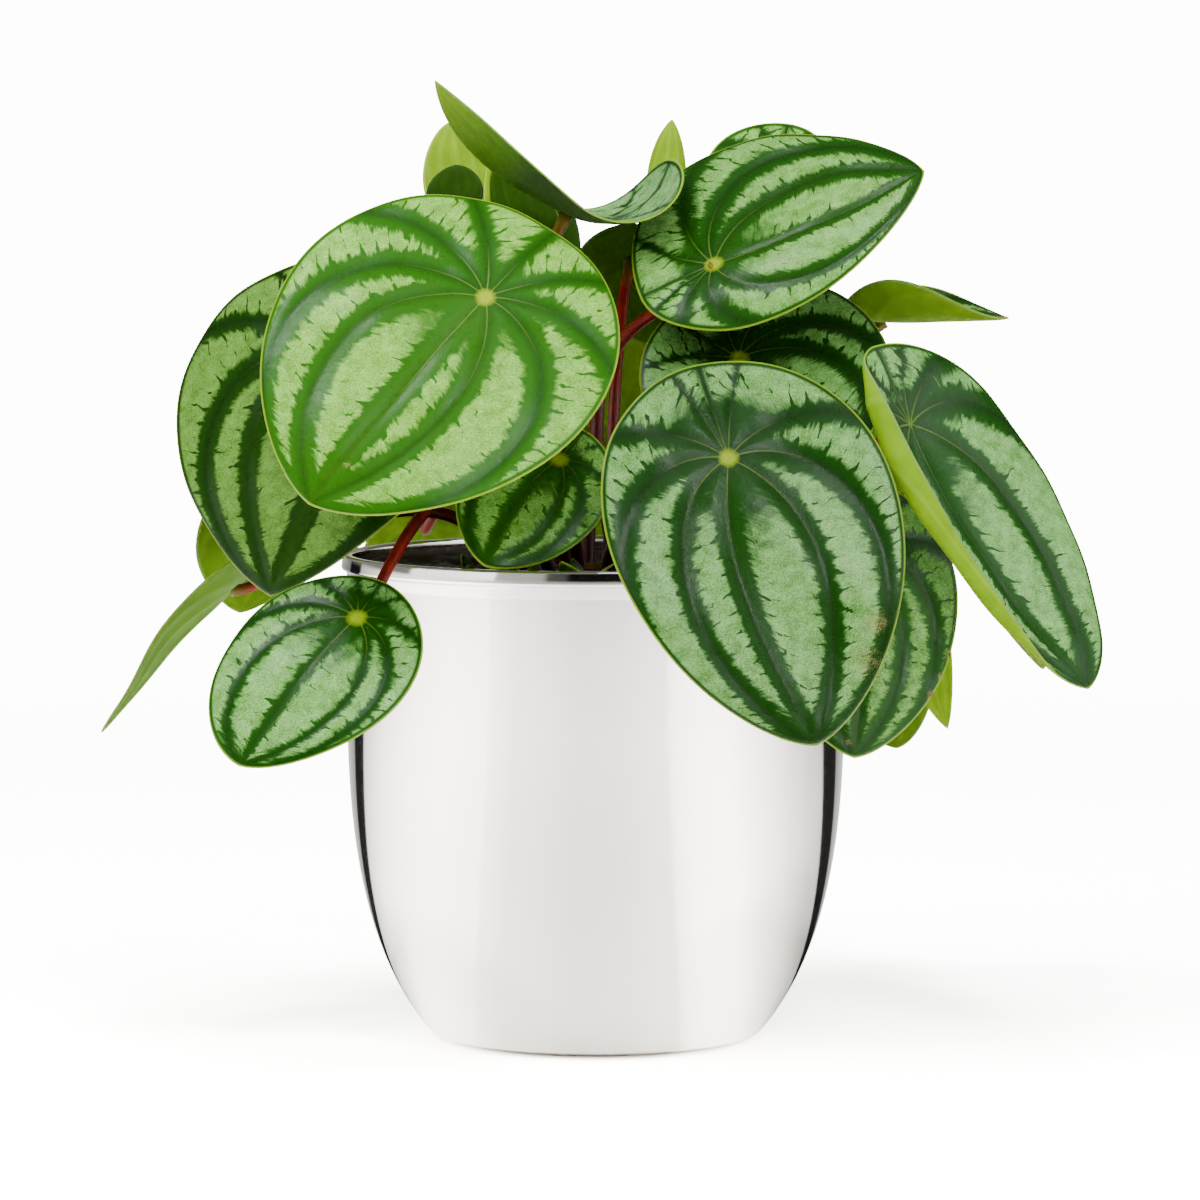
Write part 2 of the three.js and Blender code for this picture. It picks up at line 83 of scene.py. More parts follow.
def add(tree, kind, inputs=None, out=None, **settings):
    """Adds one node, sets its settings and its inputs, by value or by link, and gives an output."""
    node = tree.nodes.new("ShaderNode" + kind)
    for name, value in settings.items():
        setattr(node, name, value)
    for key, value in (inputs or {}).items():
        if isinstance(value, bpy.types.NodeSocket):
            tree.links.new(value, node.inputs[key])
        else:
            node.inputs[key].default_value = value
    if out is not None:
        return node.outputs[out]
    return next((socket for socket in node.outputs if socket.enabled), None)


def new_material(name):
    """An empty material, with its node tree."""
    material = bpy.data.materials.new(name)
    material.use_nodes = True
    material.node_tree.nodes.clear()
    return material, material.node_tree


def new_piece(name, points, faces, materials):
    """A smooth closed mesh from points in millimetres. Its faces are turned to point outwards."""
    points = np.asarray(points, float) * MM
    fans = [(face[0], face[i], face[i + 1]) for face in faces for i in range(1, len(face) - 1)]
    a, b, c = (points[np.array(fans)[:, i]] for i in range(3))
    if np.einsum("ij,ij->", a, np.cross(b, c)) < 0:
        faces = [face[::-1] for face in faces]
    mesh = bpy.data.meshes.new(name)
    mesh.from_pydata(points.tolist(), [], faces)
    mesh.shade_smooth()
    for material in materials:
        mesh.materials.append(material)
    piece = bpy.data.objects.new(name, mesh)
    bpy.context.collection.objects.link(piece)
    return piece


def belly_radius(z):
    """Radius of the pot's outside at a height: a superellipse for the belly, then straight up."""
    below = np.maximum(BELLY_TOP - z, 0) / BELLY_REACH
    return POT_RADIUS * (1 - below**BELLY_ROUNDNESS) ** (1 / BELLY_ROUNDNESS)


def wall(inset, bottom, top, count):
    """Points (radius, height) up the wall, closer together near the foot, where it turns most."""
    z = bottom + (top - bottom) * np.linspace(0, 1, count) ** 1.6
    return np.column_stack([belly_radius(z) - inset, z])


def arc(centre, radius, start, end, count):
    """Points on an arc of a circle between two angles in degrees."""
    angles = np.radians(np.linspace(start, end, count))
    return np.column_stack([centre[0] + radius * np.cos(angles), centre[1] + radius * np.sin(angles)])


def turned(profile, sides):
    """Spins a profile of (radius, height) points, whose ends lie on the axis, about that axis."""
    around = np.linspace(0, 2 * np.pi, sides, endpoint=False)
    rings = np.stack([
        np.outer(profile[1:-1, 0], np.cos(around)),
        np.outer(profile[1:-1, 0], np.sin(around)),
        np.repeat(profile[1:-1, 1:2], sides, axis=1),
    ], axis=-1)
    ends = [[0, 0, profile[0, 1]], [0, 0, profile[-1, 1]]]
    return np.vstack([rings.reshape(-1, 3), ends]), capped_tube(len(rings), sides)


def capped_tube(rows, sides):
    """Faces of rows of points that close on themselves, with a fan to a pole point at each end."""
    index = np.arange(rows * sides).reshape(rows, sides)
    beside = np.roll(index, -1, axis=1)
    quads = np.stack([index[:-1], beside[:-1], beside[1:], index[1:]], axis=-1).reshape(-1, 4)
    first, last = rows * sides, rows * sides + 1
    faces = [tuple(quad) for quad in quads.tolist()]
    faces += [(first, b, a) for a, b in zip(index[0].tolist(), beside[0].tolist())]
    faces += [(last, a, b) for a, b in zip(index[-1].tolist(), beside[-1].tolist())]
    return faces


def polished_steel():
    """Spun and polished stainless steel: a clear mirror, with the faintest rings of the polishing."""
    material, tree = new_material("polished stainless steel")
    place = add(tree, "TexCoord", out="Object")
    # Polishing marks run round the pot, about 1 mm apart up it and long round it.
    rings = add(tree, "Mapping", {"Vector": place, "Scale": (6, 6, 900)})
    marks = add(tree, "TexNoise", {"Vector": rings, "Scale": 1, "Detail": 3})
    waves = add(tree, "TexNoise", {"Vector": place, "Scale": 28, "Detail": 1})
    height = add(tree, "Math", {0: marks, 1: 0.02, 2: waves}, operation="MULTIPLY_ADD")
    roughness = add(tree, "MapRange", {"Value": marks, "To Min": 0.05, "To Max": 0.085})
    bump = add(tree, "Bump", {"Height": height, "Strength": 0.04, "Distance": 0.001})
    surface = add(tree, "BsdfPrincipled", {
        "Base Color": linear("#e2dfdc"), "Metallic": 1.0, "Roughness": roughness, "Normal": bump,
    })
    add(tree, "OutputMaterial", {"Surface": surface})
    return material


bead_low = POT_HEIGHT - BEAD_HEIGHT
bead_inner = POT_RADIUS - SHEET - 0.4
bead_top = POT_HEIGHT - BEAD_ROUNDING
pot_profile = np.vstack([
    [[0, 0]], [[FOOT_RADIUS + out, up] for out, up in FOOT_CURVE],
    wall(0, BELLY_START - 1, bead_low - 0.4, 70),
    arc((BEAD_RADIUS - BEAD_ROUNDING, bead_low + BEAD_ROUNDING), BEAD_ROUNDING, -90, 4, 7),
    arc((BEAD_RADIUS - BEAD_ROUNDING - BEAD_LEAN, bead_top), BEAD_ROUNDING, 10, 90, 7),
    arc((bead_inner + BEAD_ROUNDING, bead_top), BEAD_ROUNDING, 100, 180, 6),
    [[bead_inner, bead_low]],
    wall(SHEET, BELLY_START + SHEET, bead_low - 2, 40)[::-1],
    [[FOOT_RADIUS, SHEET], [0, SHEET]],
])
pot = new_piece("spun_pot", *turned(pot_profile, POT_SIDES), [polished_steel()])
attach(pot, "root")
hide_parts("pot")


# Soil: dark peat compost, crumbly on top, heaped a little round the crown and watered dark.
SOIL_EDGE = 128.5
SOIL_HEAP = 1.8
SOIL_GAP = 0.6
SOIL_FLOOR_GAP = 0.35
CRUMB_BED = 1.2
SOIL_SIDES = 200
SOIL_TOP_RINGS = 64
CRUMBS = 1500
CRUMB_SIZES = (0.9, 3.0)


def crumbs(x, y, radius, count, sizes, seed):
    """Height of a bed of round crumbs: the highest half-ball over each point, squashed a little."""
    draw = np.random.default_rng(seed)
    angle = draw.uniform(0, 2 * np.pi, count)
    reach = radius * np.sqrt(draw.uniform(0, 1, count))
    size = draw.uniform(*sizes, count)
    away = (x[:, None] - reach * np.cos(angle)) ** 2 + (y[:, None] - reach * np.sin(angle)) ** 2
    return 0.6 * np.sqrt(np.maximum(size**2 - away, 0)).max(axis=1)


def peat_compost():
    """Moist peat compost: nearly black, matt, with brown fibres and a few mossy grains."""
    material, tree = new_material("moist peat compost")
    place = add(tree, "TexCoord", out="Object")
    grains = add(tree, "TexVoronoi", {"Vector": place, "Scale": 700}, out="Color")
    grain = add(tree, "SeparateColor", {"Color": grains})
    clumps = add(tree, "TexNoise", {"Vector": place, "Scale": 160, "Detail": 5})
    earth = add(tree, "Mix", {0: clumps, 6: linear("#120b07"), 7: linear("#3a2516")}, data_type="RGBA")
    mossy = add(tree, "MapRange", {"Value": grain, "From Min": 0.86, "From Max": 0.95})
    colour = add(tree, "Mix", {0: mossy, 6: earth, 7: linear("#3d4a1c")}, data_type="RGBA")
    bump = add(tree, "Bump", {"Height": clumps, "Strength": 0.8, "Distance": 0.0012})
    surface = add(tree, "BsdfPrincipled", {"Base Color": colour, "Roughness": 0.85, "Normal": bump})
    add(tree, "OutputMaterial", {"Surface": surface})
    return material


soil_inset = SHEET + SOIL_GAP
soil_radius = belly_radius(SOIL_EDGE) - soil_inset
top_share = np.linspace(1, 0, SOIL_TOP_RINGS)
soil_profile = np.vstack([
    [[0, SHEET + SOIL_FLOOR_GAP], [FOOT_RADIUS, SHEET + SOIL_FLOOR_GAP]],
    wall(soil_inset, BELLY_START + soil_inset, SOIL_EDGE - 2, 12),
    np.column_stack([
        soil_radius * top_share, SOIL_EDGE - CRUMB_BED + SOIL_HEAP * (1 - top_share**2),
    ]),
])
soil_points, soil_faces = turned(soil_profile, SOIL_SIDES)
on_top = soil_points[:, 2] > SOIL_EDGE - CRUMB_BED - 0.3
soil_points[on_top, 2] += crumbs(
    soil_points[on_top, 0], soil_points[on_top, 1], soil_radius, CRUMBS, CRUMB_SIZES, seed=3,
)
soil = new_piece("potting_soil", soil_points, soil_faces, [peat_compost()])
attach(soil, "root")
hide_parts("soil")


# Crown and stalks: every leaf stands on one fleshy red-brown stalk, and all of them grow from
# a short knobbly crown that sits in the soil.

# One entry for each leaf. spot is where the stalk joins the blade and tip is its pointed end.
# face is the way the upper side looks. halves are the half widths left and right of the midrib.
# base is the share of the length behind the spot, and point sharpens the tip. The angles are in
# degrees: bend droops the tip and base_bend the back, cups lift the margins, twist winds the
# blade about its midrib, and sweep bows the midrib to the left. fold rolls the right margin in:
# the share of the half width where the roll starts, how many millimetres it takes and its angle.
# ruffle is the height of the blade's waves, and stalk the two points that its stalk bends towards.
#
# The rest is the blade's colouring. tint is how blue, how dark and how warm the green is; the
# darkness is partly the green's own and partly painted shade on leaves that lie in shadow. veins
# gives the angles at which the midrib and the four veins left and right of it leave the spot.
# band is how wide the dark bands are, back_band how wide the hindmost ones are beside the others,
# and late how much further out the silver starts behind the spot. marks are brown marks, by disc
# coordinates as blade_sheet has them, a radius and a strength. spotted is False where no yellow
# spot shows. under is the painted shade on the underside, how dark it is at the back and at the
# tip, and pale the side and the width of a margin kept out of that shade, a painted lit strip.
# Where flipped is set, the underside looks the way of face.
LEAVES = {
    "front_left": dict(
        spot=(-30, -55, 211), tip=(-77, -85, 157), face=(-0.12, -0.9, 0.42), halves=(45, 50), base=0.29,
        point=0.66, bend=12, base_bend=15, cups=(-10, -10), tint=(0, 0.06, 1),
        marks=((0.74, 0.05, 0.9, 1),), veins=(0, (50, 98, 125, 150), (69, 100, 125, 150)), band=1.45,
        back_band=0.6,
    ),
    # Painted shade: left lies partly in front_left's shadow, so its tint is dark.
    "left": dict(
        spot=(-77, -22, 196), tip=(-89, -48, 129), face=(-0.35, -0.85, 0.35), halves=(50, 43),
        base=0.28, point=0.82, bend=15, cups=(-15, -15), tint=(0.1, 0.55, 0.8),
        veins=(32, (95, 115, 135, 157), (52, 91, 126, 153)), band=1.4,
    ),
    "low_left": dict(
        spot=(-65, -63, 124), tip=(-96, -83, 86), face=(-0.15, -0.8, 0.58), halves=(24, 29), base=0.21,
        point=0.62, bend=20, cups=(-18, -12), sweep=-18, tint=(0.7, 0.1, 0.1),
        veins=(-15, (66, 91, 118, 150), (78, 106, 130, 155)),
        stalk=((-40, -35, 202), (-62.5, -51, 116)), band=0.65, late=0.4,
    ),
    "far_left": dict(
        spot=(-103, 5, 127), tip=(-139, -5, 87), face=(-0.66, 0.12, 0.7), halves=(31, 31), base=0.25,
        point=0.75, bend=10, cups=(12, 25), tint=(0.5, 0.5, 0.6), stalk=((-55, 3, 178), (-91, 3, 123)),
    ),
    "left_underside": dict(
        spot=(-86, 45, 149), tip=(-104, 60, 116), face=(-0.5, 0.8, 0.35), halves=(28, 20), base=0.25,
        point=0.7, tint=(0.3, 0.3, 0.8), stalk=((-45, 25, 180), (-80, 36, 142)),
    ),
    "centre_small": dict(
        spot=(-10, -42, 166), tip=(-30, -62, 138), face=(-0.1, -0.9, 0.45), halves=(19, 22), base=0.24,
        point=0.64, bend=20, cups=(-25, -15), tint=(0.2, 0, 0.4),
        veins=(-22, (60, 90, 118, 150), (85, 112, 135, 157)), band=0.9,
    ),
    "upper_right": dict(
        spot=(33, -22, 219), tip=(91, -22, 245), face=(0.05, -0.6, 0.78), halves=(46, 25), base=0.26,
        point=0.74, cups=(-8, -20), tint=(0.5, 0.26, 0.3),
        veins=(-18, (55, 89, 114, 145), (90, 118, 140, 160)), stalk=((-14, 4, 212), (20, -10, 199)),
    ),
    "front_right": dict(
        spot=(36, -70, 168), tip=(59, -98, 93), face=(0.08, -0.9, 0.4), halves=(41, 39), base=0.26,
        point=0.68, bend=15, cups=(6, 6), tint=(0.8, 0.36, 0.15),
        veins=(-30, (57, 97, 122, 160), (78, 108, 132, 165)),
        marks=((0.5, 0.68, 5, 0.5), (0.66, 0.58, 6, 0.5)), late=0.36,
    ),
    # Painted shade: this leaf lies in upper_right's shadow, so its tint is dark.
    "shaded_right": dict(
        spot=(40, -20, 193), tip=(76, -41, 174), face=(0.05, -0.75, 0.65), halves=(36, 34), base=0.36,
        point=0.58, tint=(0.6, 0.45, 0),
    ),
    "right_folded": dict(
        spot=(86, -50, 176), tip=(134, -64, 105), face=(0.4, -0.8, 0.45), halves=(37, 21), base=0.22,
        point=0.72, cups=(-18, 0), sweep=22, fold=(0.47, 7.5, 165), tint=(0.8, 0.2, 0.1),
        veins=(-8, (70, 113, 136, 160), (66, 98, 124, 152)), stalk=((45, -18, 188), (76, -34, 160)),
        under=(0.1, 0), spotted=False,
    ),
    "low_right": dict(
        spot=(73, -55, 141), tip=(70, -72, 87), face=(0.3, -0.85, 0.4), halves=(28, 31), base=0.27,
        point=0.68, bend=10, tint=(0.5, 0.08, 0.3), veins=(8, (66, 98, 124, 150), (60, 95, 120, 150)),
        marks=(
            (0.5, 0.86, 1.3, 1), (0.36, 0.93, 1, 1), (0.2, 0.98, 1.3, 1), (0, 1, 1.1, 1),
            (0.9, -0.1, 1, 0.8),
        ),
        stalk=((45, -35, 178), (68, -45, 133)),
    ),
    "low_right_back": dict(
        spot=(82, -18, 143), tip=(99, -10, 89), face=(0.2, 0.9, 0.3), halves=(11, 10), base=0.22,
        point=0.8, tint=(0.3, 0, 0.6), stalk=((50, -10, 190), (83, -28, 143)),
    ),
    "right_back": dict(
        spot=(82, 25, 202), tip=(117, 15, 203), face=(0, -0.05, 1), halves=(19, 21), base=0.25,
        point=0.85, bend=-8, cups=(60, 85), tint=(0.6, 0.3, 0.3), marks=((0.9, 0, 2.2, 1),),
        stalk=((42, 15, 186), (70, 24, 191)), under=(0.3, 0),
    ),
    "top_right_back": dict(
        spot=(52, 30, 247), tip=(44, 8, 219), face=(0, -0.8, 0.6), halves=(17, 20), base=0.28,
        point=0.7, tint=(0.3, 0.1, 0.5), stalk=((34, 12, 195), (50, 40, 232)),
    ),
    "upright_back": dict(
        spot=(18, 40, 227), tip=(22, 55, 259), face=(0.1, 0.9, -0.2), halves=(8.5, 8.5), base=0.25,
        point=0.8, cups=(80, 80), tint=(0.2, 0, 1), stalk=((38, 46, 176), (26, 20, 216)),
    ),
    # Painted shade: the underside darkens from the pale tip back towards the spot, deeper in shadow.
    "top_trough": dict(
        spot=(-8, 3, 233), tip=(-45, 0, 270), face=(0.68, 0.1, 0.73), halves=(27, 20), base=0.42,
        point=0.9, bend=-34, base_bend=-110, cups=(8, 14), twist=24, tint=(1, 0.1, 0), under=(2.4, 0),
        ruffle=0.12, band=0.9,
    ),
    "top_left_back": dict(
        spot=(-38, 40, 235), tip=(-42, 50, 258), face=(-0.3, 0.9, -0.2), halves=(10, 11), base=0.25,
        point=0.7, tint=(0.2, 0, 1), stalk=((-20, 20, 190), (-33, 30, 221)),
    ),
    # Painted shade: a small turned leaf with a plain underside darkened nearly to black, standing in
    # for a shadow.
    "top_left_arch": dict(
        spot=(-39, 27.5, 236), tip=(-40, 33.5, 246), face=(-0.1, -0.9, 0.2), halves=(9, 7), base=0.3,
        point=0.6, tint=(0.4, 0.3, 0.2), stalk=((-18, 18, 190), (-37, 32.5, 222)), under=(1, 0.95),
        flipped=True,
    ),
    # Painted shade and painted light: the underside is darkened as in shadow, but for a lit strip along
    # the right margin.
    "top_left_inner": dict(
        spot=(-22, 24, 222), tip=(-29, 32, 251), face=(-0.3, 0.9, -0.2), halves=(14, 8), base=0.25,
        point=0.8, tint=(0.1, 0, 1), stalk=((-12, 16, 185), (-19, 15, 208)), under=(1, 0.9),
        pale=(-1, 4.5),
    ),
    # Painted shade: turned to show its plain underside, darkened nearly to black as a leaf in deep
    # shadow.
    "top_left_dark": dict(
        spot=(-17, 43, 226), tip=(-13, 33, 202), face=(0.05, -0.9, 0.35), halves=(12, 13), base=0.4,
        point=0.65, tint=(0.4, 0.3, 0.2), stalk=((-10, 28, 180), (-16, 52, 210)), under=(1, 0.9),
        flipped=True,
    ),
    # Painted shade: a leaf in the plant's shaded middle, darkened on both sides.
    "dark_centre": dict(
        spot=(10, 20, 219), tip=(17, 34, 195), face=(0.2, 0.9, 0.3), halves=(17, 18), base=0.3,
        point=0.7, tint=(0.2, 0.7, 0.5), under=(0.85, 0.6),
    ),
    "back_top": dict(
        spot=(2, 64, 200), tip=(6, 108, 154), face=(0.05, 0.7, 0.7), halves=(38, 33), base=0.27,
        point=0.7, bend=18, cups=(-10, -10), tint=(0.4, 0.1, 0.4),
    ),
    "back_left": dict(
        spot=(-58, 52, 190), tip=(-102, 88, 150), face=(-0.5, 0.6, 0.6), halves=(40, 40), base=0.26,
        point=0.7, bend=15, cups=(-10, -10), tint=(0.2, 0.1, 0.7),
    ),
    "back_right": dict(
        spot=(65, 59, 188), tip=(101, 97, 140), face=(0.55, 0.65, 0.5), halves=(40, 40), base=0.26,
        point=0.7, bend=15, cups=(-10, -10), tint=(0.6, 0.15, 0.2),
    ),
    "back_middle": dict(
        spot=(0, 82, 150), tip=(-8, 108, 88), face=(0, 0.9, 0.4), halves=(38, 38), base=0.25,
        point=0.68, bend=15, cups=(-8, -8), tint=(0.5, 0.2, 0.2),
    ),
    "back_low_left": dict(
        spot=(-50, 69, 140), tip=(-60, 89, 88), face=(-0.3, 0.9, 0.4), halves=(18, 27), base=0.24,
        point=0.68, bend=15, cups=(-8, -8), tint=(0.3, 0.2, 0.4),
        stalk=((-34, 44, 188), (-51, 60, 134)),
    ),
    "back_low_right": dict(
        spot=(70, 62, 125), tip=(88, 76, 74), face=(0.6, 0.75, 0.4), halves=(28, 28), base=0.24,
        point=0.68, bend=15, cups=(-8, -8), tint=(0.6, 0.2, 0.2), stalk=((45, 42, 182), (64, 55, 120)),
    ),
    "right_low": dict(
        spot=(100, 22, 150), tip=(128, 28, 102), face=(0.85, 0.2, 0.5), halves=(30, 30), base=0.25,
        point=0.68, bend=15, cups=(-8, -8), tint=(0.5, 0.15, 0.3), stalk=((55, 12, 182), (90, 20, 143)),
    ),
    "left_high": dict(
        spot=(-62, 22, 207), tip=(-108, 34, 186), face=(-0.55, 0.15, 0.82), halves=(30, 30), base=0.26,
        point=0.68, bend=15, cups=(-8, -8), tint=(0.2, 0.05, 0.7),
    ),
}
NO_FOLD = (0.5, 1, 0)
RUFFLE = 0.45
SIDE_VEINS = (69, 100, 125, 152)
BLADE_THICKNESS = 1.0
CROWN_CENTRE = np.array([-3, 2, 126.0])
CROWN_SIZE = np.array([23, 17, 9.0])
CROWN_GRID = (40, 96)
KNOBS = 60
KNOB_HEIGHT = 0.1
KNOB_WIDTH = 0.16
ROOT_SPREAD = 0.6
ROOT_RISE = 0.3
STALK_RADIUS = 1.7
STALK_SIDES = 18
STALK_STEPS = 40
STALK_LEAN = 0.12
STALK_RISE = 0.4
STALK_TURN = 0.35


def unit(vector):
    """The vector, or each row of vectors, at length 1."""
    return vector / np.linalg.norm(vector, axis=-1, keepdims=True)


def lay_out(entry):
    """Works out a leaf's axes and lengths. The midrib's arc is longer than its straight chord."""
    leaf = {
        "bend": 0, "base_bend": 0, "cups": (0, 0), "twist": 0, "sweep": 0, "fold": NO_FOLD,
        "ruffle": RUFFLE, "veins": (0, SIDE_VEINS, SIDE_VEINS), "band": 1.2, "back_band": 0.2,
        "late": 0.15, "marks": (), "spotted": True, "under": (entry["tint"][1],) * 2,
        "pale": (0, 0), "flipped": False, **entry,
    }
    spot, tip, face = (np.array(entry[key], float) for key in ("spot", "tip", "face"))
    chord = np.linalg.norm(tip - spot)
    ahead = (tip - spot) / chord
    up = unit(face - ahead * (face @ ahead))
    drop = math.radians(leaf["bend"]) / 2
    straight = math.sin(drop) / drop if drop else 1
    aside = math.radians(leaf["sweep"]) / 2
    front = chord / math.hypot(straight, aside)
    leaf.update(
        spot=spot, ahead=ahead, up=up, left=np.cross(up, ahead), drop=drop, straight=straight,
        aside=aside, front=front, back=front * leaf["base"] / (1 - leaf["base"]),
        normal=up * math.cos(drop) - ahead * math.sin(drop),
    )
    return leaf


def tube(points, radii, sides):
    """Rings round a path, each square to it and turned as little as possible from the one before,
    with a low cone at either end."""
    along = unit(np.gradient(points, axis=0))
    side = unit(np.cross(along[0], (0.3, 0.2, 1.0)))
    sides_of_rings = []
    for direction in along:
        side = unit(side - direction * (side @ direction))
        sides_of_rings.append(side)
    across = np.array(sides_of_rings)
    other = np.cross(along, across)
    angle = np.linspace(0, 2 * np.pi, sides, endpoint=False)
    rings = points[:, None] + radii[:, None, None] * (
        across[:, None] * np.cos(angle)[:, None] + other[:, None] * np.sin(angle)[:, None]
    )
    ends = [points[0] - along[0] * radii[0] * 0.5, points[-1] + along[-1] * radii[-1] * 0.3]
    return np.vstack([rings.reshape(-1, 3), ends]), capped_tube(len(points), sides)


def stalk_path(leaf, share):
    """A cubic Bezier curve from inside the crown, up and out, to the underside of the blade."""
    away = leaf["spot"] - CROWN_CENTRE
    azimuth = math.atan2(away[1] / CROWN_SIZE[1], away[0] / CROWN_SIZE[0])
    root = CROWN_CENTRE + CROWN_SIZE * (
        ROOT_SPREAD * math.cos(azimuth), ROOT_SPREAD * math.sin(azimuth), ROOT_RISE,
    )
    reach = np.linalg.norm(away)
    first = root + (away[0] * STALK_LEAN, away[1] * STALK_LEAN, reach * STALK_RISE)
    last = leaf["spot"] - leaf["normal"] * reach * STALK_TURN
    if "stalk" in leaf:
        first, last = np.array(leaf["stalk"], float)
    end = leaf["spot"] - leaf["normal"] * BLADE_THICKNESS * 0.4
    u = share[:, None]
    return (
        (1 - u) ** 3 * root + 3 * u * (1 - u) ** 2 * first + 3 * u**2 * (1 - u) * last + u**3 * end
    )


def fleshy_stalk():
    """Fleshy stalk skin: smooth and slightly glossy and red, darkened nearly to black near the crown
    by painted shade, and greener close under the blade."""
    material, tree = new_material("fleshy red-brown stalk")
    place = add(tree, "TexCoord", out="Object")
    share = add(tree, "Attribute", attribute_name="share", out="Fac")
    blotch = add(tree, "TexNoise", {"Vector": place, "Scale": 240, "Detail": 4})
    red = add(tree, "Mix", {0: blotch, 6: linear("#2a0401"), 7: linear("#8a1c06")}, data_type="RGBA")
    # Painted shade: the lower half of each stalk darkens nearly to black towards the crown, in the
    # plant's shaded middle.
    crown_shade = add(tree, "MapRange", {
        "Value": share, "From Min": 0.1, "From Max": 0.6, "To Min": 0.9, "To Max": 0,
    })
    red = add(tree, "Mix", {0: crown_shade, 6: red, 7: linear("#140301")}, data_type="RGBA")
    near_blade = add(tree, "MapRange", {"Value": share, "From Min": 0.86, "From Max": 1.0})
    colour = add(tree, "Mix", {0: near_blade, 6: red, 7: linear("#5e5a12")}, data_type="RGBA")
    bump = add(tree, "Bump", {"Height": blotch, "Strength": 0.25, "Distance": 0.0005})
    surface = add(tree, "BsdfPrincipled", {
        "Base Color": colour, "Roughness": 0.42, "IOR": 1.38, "Specular IOR Level": 0.25,
        "Subsurface Weight": 0.1, "Subsurface Radius": (0.003, 0.0012, 0.0006),
        "Subsurface Scale": 1.0, "Normal": bump,
    })
    add(tree, "OutputMaterial", {"Surface": surface})
    return material


def knobbly_crown(seed):
    """An ellipsoid with round swellings, where old stalks have dropped off, spread over it."""
    draw = np.random.default_rng(seed)
    knobs = unit(draw.normal(size=(KNOBS, 3)))
    rows, sides = CROWN_GRID
    polar = np.linspace(0, np.pi, rows + 2)[1:-1, None]
    around = np.linspace(0, 2 * np.pi, sides, endpoint=False)
    ball = np.stack([
        np.sin(polar) * np.cos(around), np.sin(polar) * np.sin(around),
        np.repeat(np.cos(polar), sides, axis=1),
    ], axis=-1).reshape(-1, 3)
    ball = np.vstack([ball, [[0, 0, 1], [0, 0, -1]]])
    nearest = np.arccos(np.clip(ball @ knobs.T, -1, 1)).min(axis=1)
    swelling = 0.93 + KNOB_HEIGHT * np.exp(-(nearest / KNOB_WIDTH) ** 2)
    return CROWN_CENTRE + ball * CROWN_SIZE * swelling[:, None], capped_tube(rows, sides)


leaves = {name: lay_out(entry) for name, entry in LEAVES.items()}
crown_points, crown_faces = knobbly_crown(seed=5)
all_points, all_faces, all_shares = [crown_points], list(crown_faces), [np.zeros(len(crown_points))]
stalk_share = np.linspace(0, 1, STALK_STEPS)
# A stalk is thickest at its root and flares again for the last few millimetres under the blade.
stalk_radii = STALK_RADIUS * (1.12 - 0.24 * stalk_share + 0.35 * stalk_share**24)
for leaf in leaves.values():
    ring_points, ring_faces = tube(stalk_path(leaf, stalk_share), stalk_radii, STALK_SIDES)
    first = sum(len(points) for points in all_points)
    all_points.append(ring_points)
    all_faces += [tuple(index + first for index in face) for face in ring_faces]
    all_shares.append(np.append(np.repeat(stalk_share, STALK_SIDES), (0, 1)))
stalks = new_piece("crown_with_stalks", np.vstack(all_points), all_faces, [fleshy_stalk()])
share_layer = stalks.data.attributes.new("share", "FLOAT", "POINT")
share_layer.data.foreach_set("value", np.concatenate(all_shares))
stalks.visible_glossy = False
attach(stalks, "root")
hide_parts("crown_and_stalks")


# Leaf blades: thick, fleshy and peltate, so the stalk joins under each blade. Silver stripes lie
# between dark green bands, which follow the curved veins from the spot round to the tip.
LARGE_LEAF = 60
# A dark band is about this wide on a blade that is as long as this, and narrower on shorter ones.
BAND_WIDTH = 5.4
BAND_LEAF = 105
LARGE_GRID = (160, 44)
SMALL_GRID = (96, 26)
# A blade thins to this over its last millimetres, and its edge is rounded.
EDGE_THICKNESS = 0.55
EDGE_ROUNDING = 0.25
TAPER = 4
GROOVE_DEPTH = 0.12
GROOVE_WIDTH = 1.5
PUFF = 0.35
PUFF_WIDTH = 3.5
# Relief and waves grow to their full height over these ways from the spot and from the margin.
RELIEF_FROM_SPOT = 12
RELIEF_FROM_EDGE = 5
WAVES_FROM_SPOT = 15
WAVES = 5
WAVE_LENGTHS = (4, 9)
# The band along the midrib is the widest, and the ones that run back from the spot are narrow:
# how many veins out they lie, and their share of the width, where the last is the leaf's own.
BAND_VEINS = (0, 0.8, 2.5, 3.7)
BAND_SHARES = (1.4, 1, 1)
# Painted light: a lit strip on an underside fades in over this many millimetres.
LIT_STRIP_FADE = 1.5


def side_path(t, half, cup, fold_start, fold):
    """How far out and up a cross-section goes in a length t, by summing 48 steps of its slope.
    The slope grows evenly to the cup angle, and a fold adds its own angle over a short way."""
    _, reach, angle = fold
    way = (np.arange(48)[:, None] + 0.5) / 48 * t
    turn = np.clip((way - fold_start) / reach, 0, 1)
    slope = np.radians(cup * way / half + angle * turn**2 * (3 - 2 * turn))
    return np.cos(slope).mean(axis=0) * t, np.sin(slope).mean(axis=0) * t


